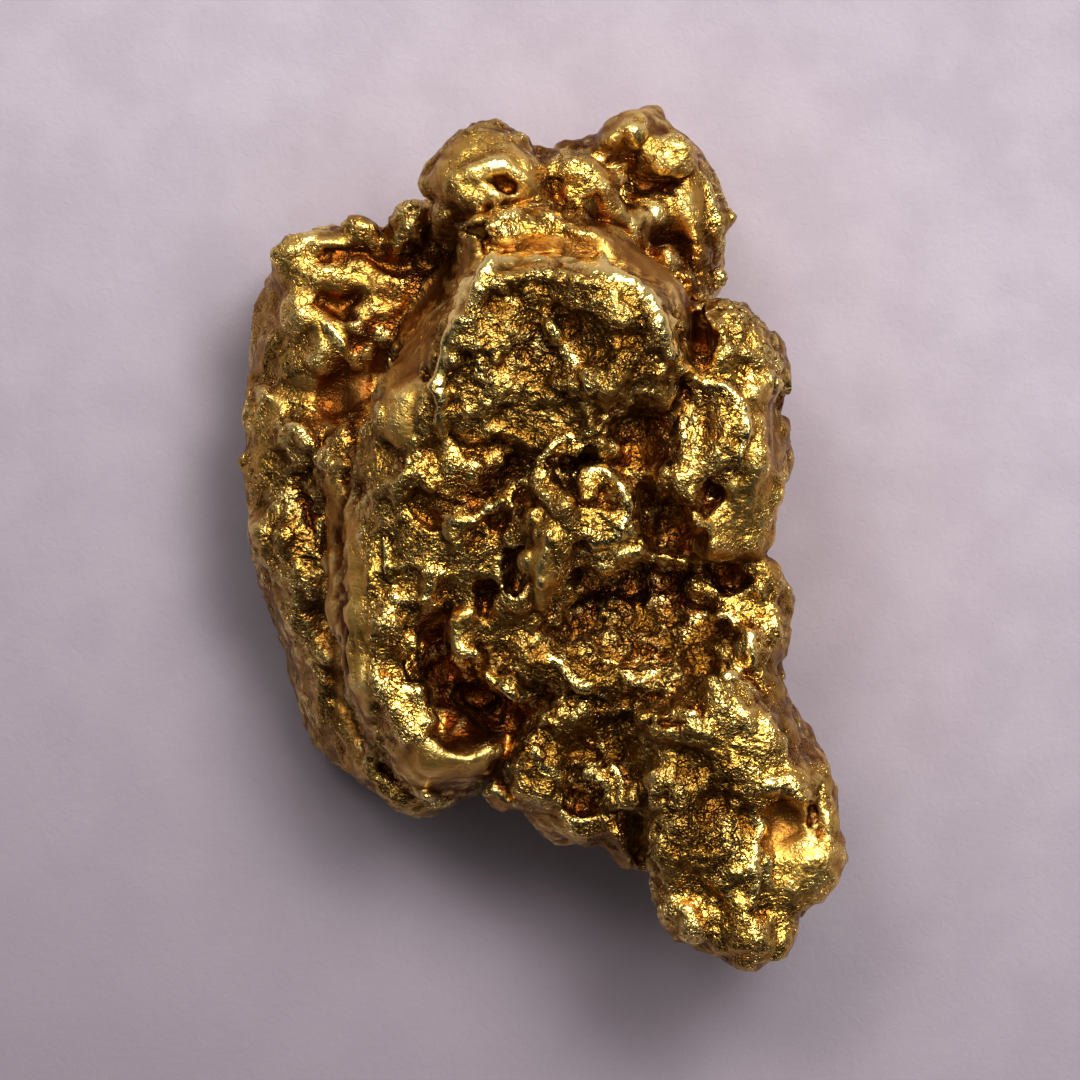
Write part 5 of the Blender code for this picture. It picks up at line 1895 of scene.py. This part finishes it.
@dataclass(frozen=True)
class Softbox:
    """A soft light, far off, with no hard edge.

    Attributes:
        azimuth: Degrees from +X towards +Y.
        elevation: Degrees above the floor.
        spread: Degrees from its middle to where it has faded to a third.
        level: Brightness at its middle.
    """

    azimuth: float
    elevation: float
    spread: float
    level: float

    def glow(self, bench: Bench, way: Wire) -> Wire:
        """Its brightness seen along each way out from the nugget.

        Args:
            bench: The world's bench.
            way: The direction looked at.

        Returns:
            The brightness.
        """
        turn, rise = np.radians(self.azimuth), np.radians(self.elevation)
        middle = (np.cos(turn) * np.cos(rise), np.sin(turn) * np.cos(rise), np.sin(rise))
        narrow = 1 / (1 - np.cos(np.radians(self.spread)))
        return bench.math("EXPONENT", (bench.toward(way, middle) - 1.0) * float(narrow)) * self.level


@dataclass
class Studio:
    """The floor, the light and the camera.

    Attributes:
        floor: The floor's finish.
        floor_width: Side of the floor in metres.
        sensor: Width of the camera's sensor in millimetres.
        nearest: The closest to the camera that anything shows, in metres.
        camera_height: Camera's distance above focus_height, in millimetres.
        focus_height: Height at which a millimetre takes PIXELS_PER_MM.
        softboxes: The lights.
        room: Brightness of the room, as (sine of the elevation, level) stops.
        brighter_side: The way to the room's brighter side. Its length is how much brighter.
        least_side: Brightness of its darkest side, as a share.
        tint: Colour of all the light.
        exposure: The picture's exposure, in stops.
        contrast: The picture's gamma, below 1 for deeper shades.
    """

    floor: PlainFloor = PlainFloor()
    floor_width: float = 0.8
    sensor: float = 36.0
    nearest: float = 0.005
    camera_height: float = 120.0
    focus_height: float = 2.2
    softboxes: tuple[Softbox, ...] = (
        Softbox(52, 56, 11, 24.0),
        Softbox(120, 60, 8, 12.0),
        Softbox(-5, 58, 9, 2.6),
        Softbox(215, 62, 8, 1.2),
    )
    room: tuple[Point, ...] = (
        (-1.0, 0.1), (0.0, 0.2), (0.35, 0.24), (0.6, 0.14), (0.8, 0.11),
        (0.83, 2.4), (0.87, 2.4), (0.9, 0.08), (1.0, 0.055),
    )
    brighter_side: Point = (0.25, 1.45, 0.0)
    least_side: float = 0.2
    tint: Colour = (1.0, 0.98, 0.97, 1.0)
    exposure: float = -0.1
    contrast: float = 0.75

    def lay_floor(self) -> None:
        """The floor that the nugget lies on."""
        bpy.ops.mesh.primitive_plane_add(size=self.floor_width)
        floor = bpy.context.object
        floor.name = "floor"
        floor.data.materials.append(self.floor.material())

    def light_room(self) -> None:
        """Softboxes round a dim room, which is darkest overhead, as polished gold shows it."""
        world = bpy.data.worlds.new("studio")
        bpy.context.scene.world = world
        world.use_nodes = True
        bench = Bench(world.node_tree)
        way = bench.wire("ShaderNodeTexCoord", {}, {}, "Generated")
        up = bench.wire("ShaderNodeSeparateXYZ", {}, {"Vector": way}, "Z")
        stops = [((sine + 1) / 2, (level, level, level, 1.0)) for sine, level in self.room]
        room = bench.wire("ShaderNodeValToRGB", {"stops": stops}, {"Fac": up * 0.5 + 0.5})
        side = bench.math("MAXIMUM", bench.toward(way, self.brighter_side) + 1.0, self.least_side)
        light = sum((box.glow(bench, way) for box in self.softboxes), start=room * side)
        shade = bench.wire("ShaderNodeBackground", {}, {"Color": self.tint, "Strength": light})
        bench.node("ShaderNodeOutputWorld", {}, {"Surface": shade})

    def place_camera(self) -> None:
        """The camera straight above, with the photograph's scale and framing."""
        data = bpy.data.cameras.new("camera")
        view = bpy.data.objects.new("camera", data)
        bpy.context.collection.objects.link(view)
        across = FRAME_PIXELS / PIXELS_PER_MM
        data.sensor_width = self.sensor
        data.lens = self.sensor * self.camera_height / across
        data.clip_start = self.nearest
        height = self.camera_height + self.focus_height
        view.location = Vector((*FRAME_CENTRE, height)) * MM
        bpy.context.scene.camera = view

    def build(self) -> None:
        """Sets up everything that isn't the nugget."""
        self.place_camera()
        self.lay_floor()
        self.light_room()
        settings = bpy.context.scene.view_settings
        settings.view_transform = "Standard"
        settings.exposure = self.exposure
        settings.gamma = self.contrast
        log.info("studio: floor, room light and camera")


def main() -> None:
    """Builds the nugget and the studio."""
    logging.basicConfig(level=logging.INFO, format="%(name)s: %(message)s")
    low, high = (np.array(corner) / MM for corner in CAD_BOX)
    NuggetSurface(GoldField(), low, high).build()
    Studio().build()


if __name__ == "__main__":
    main()
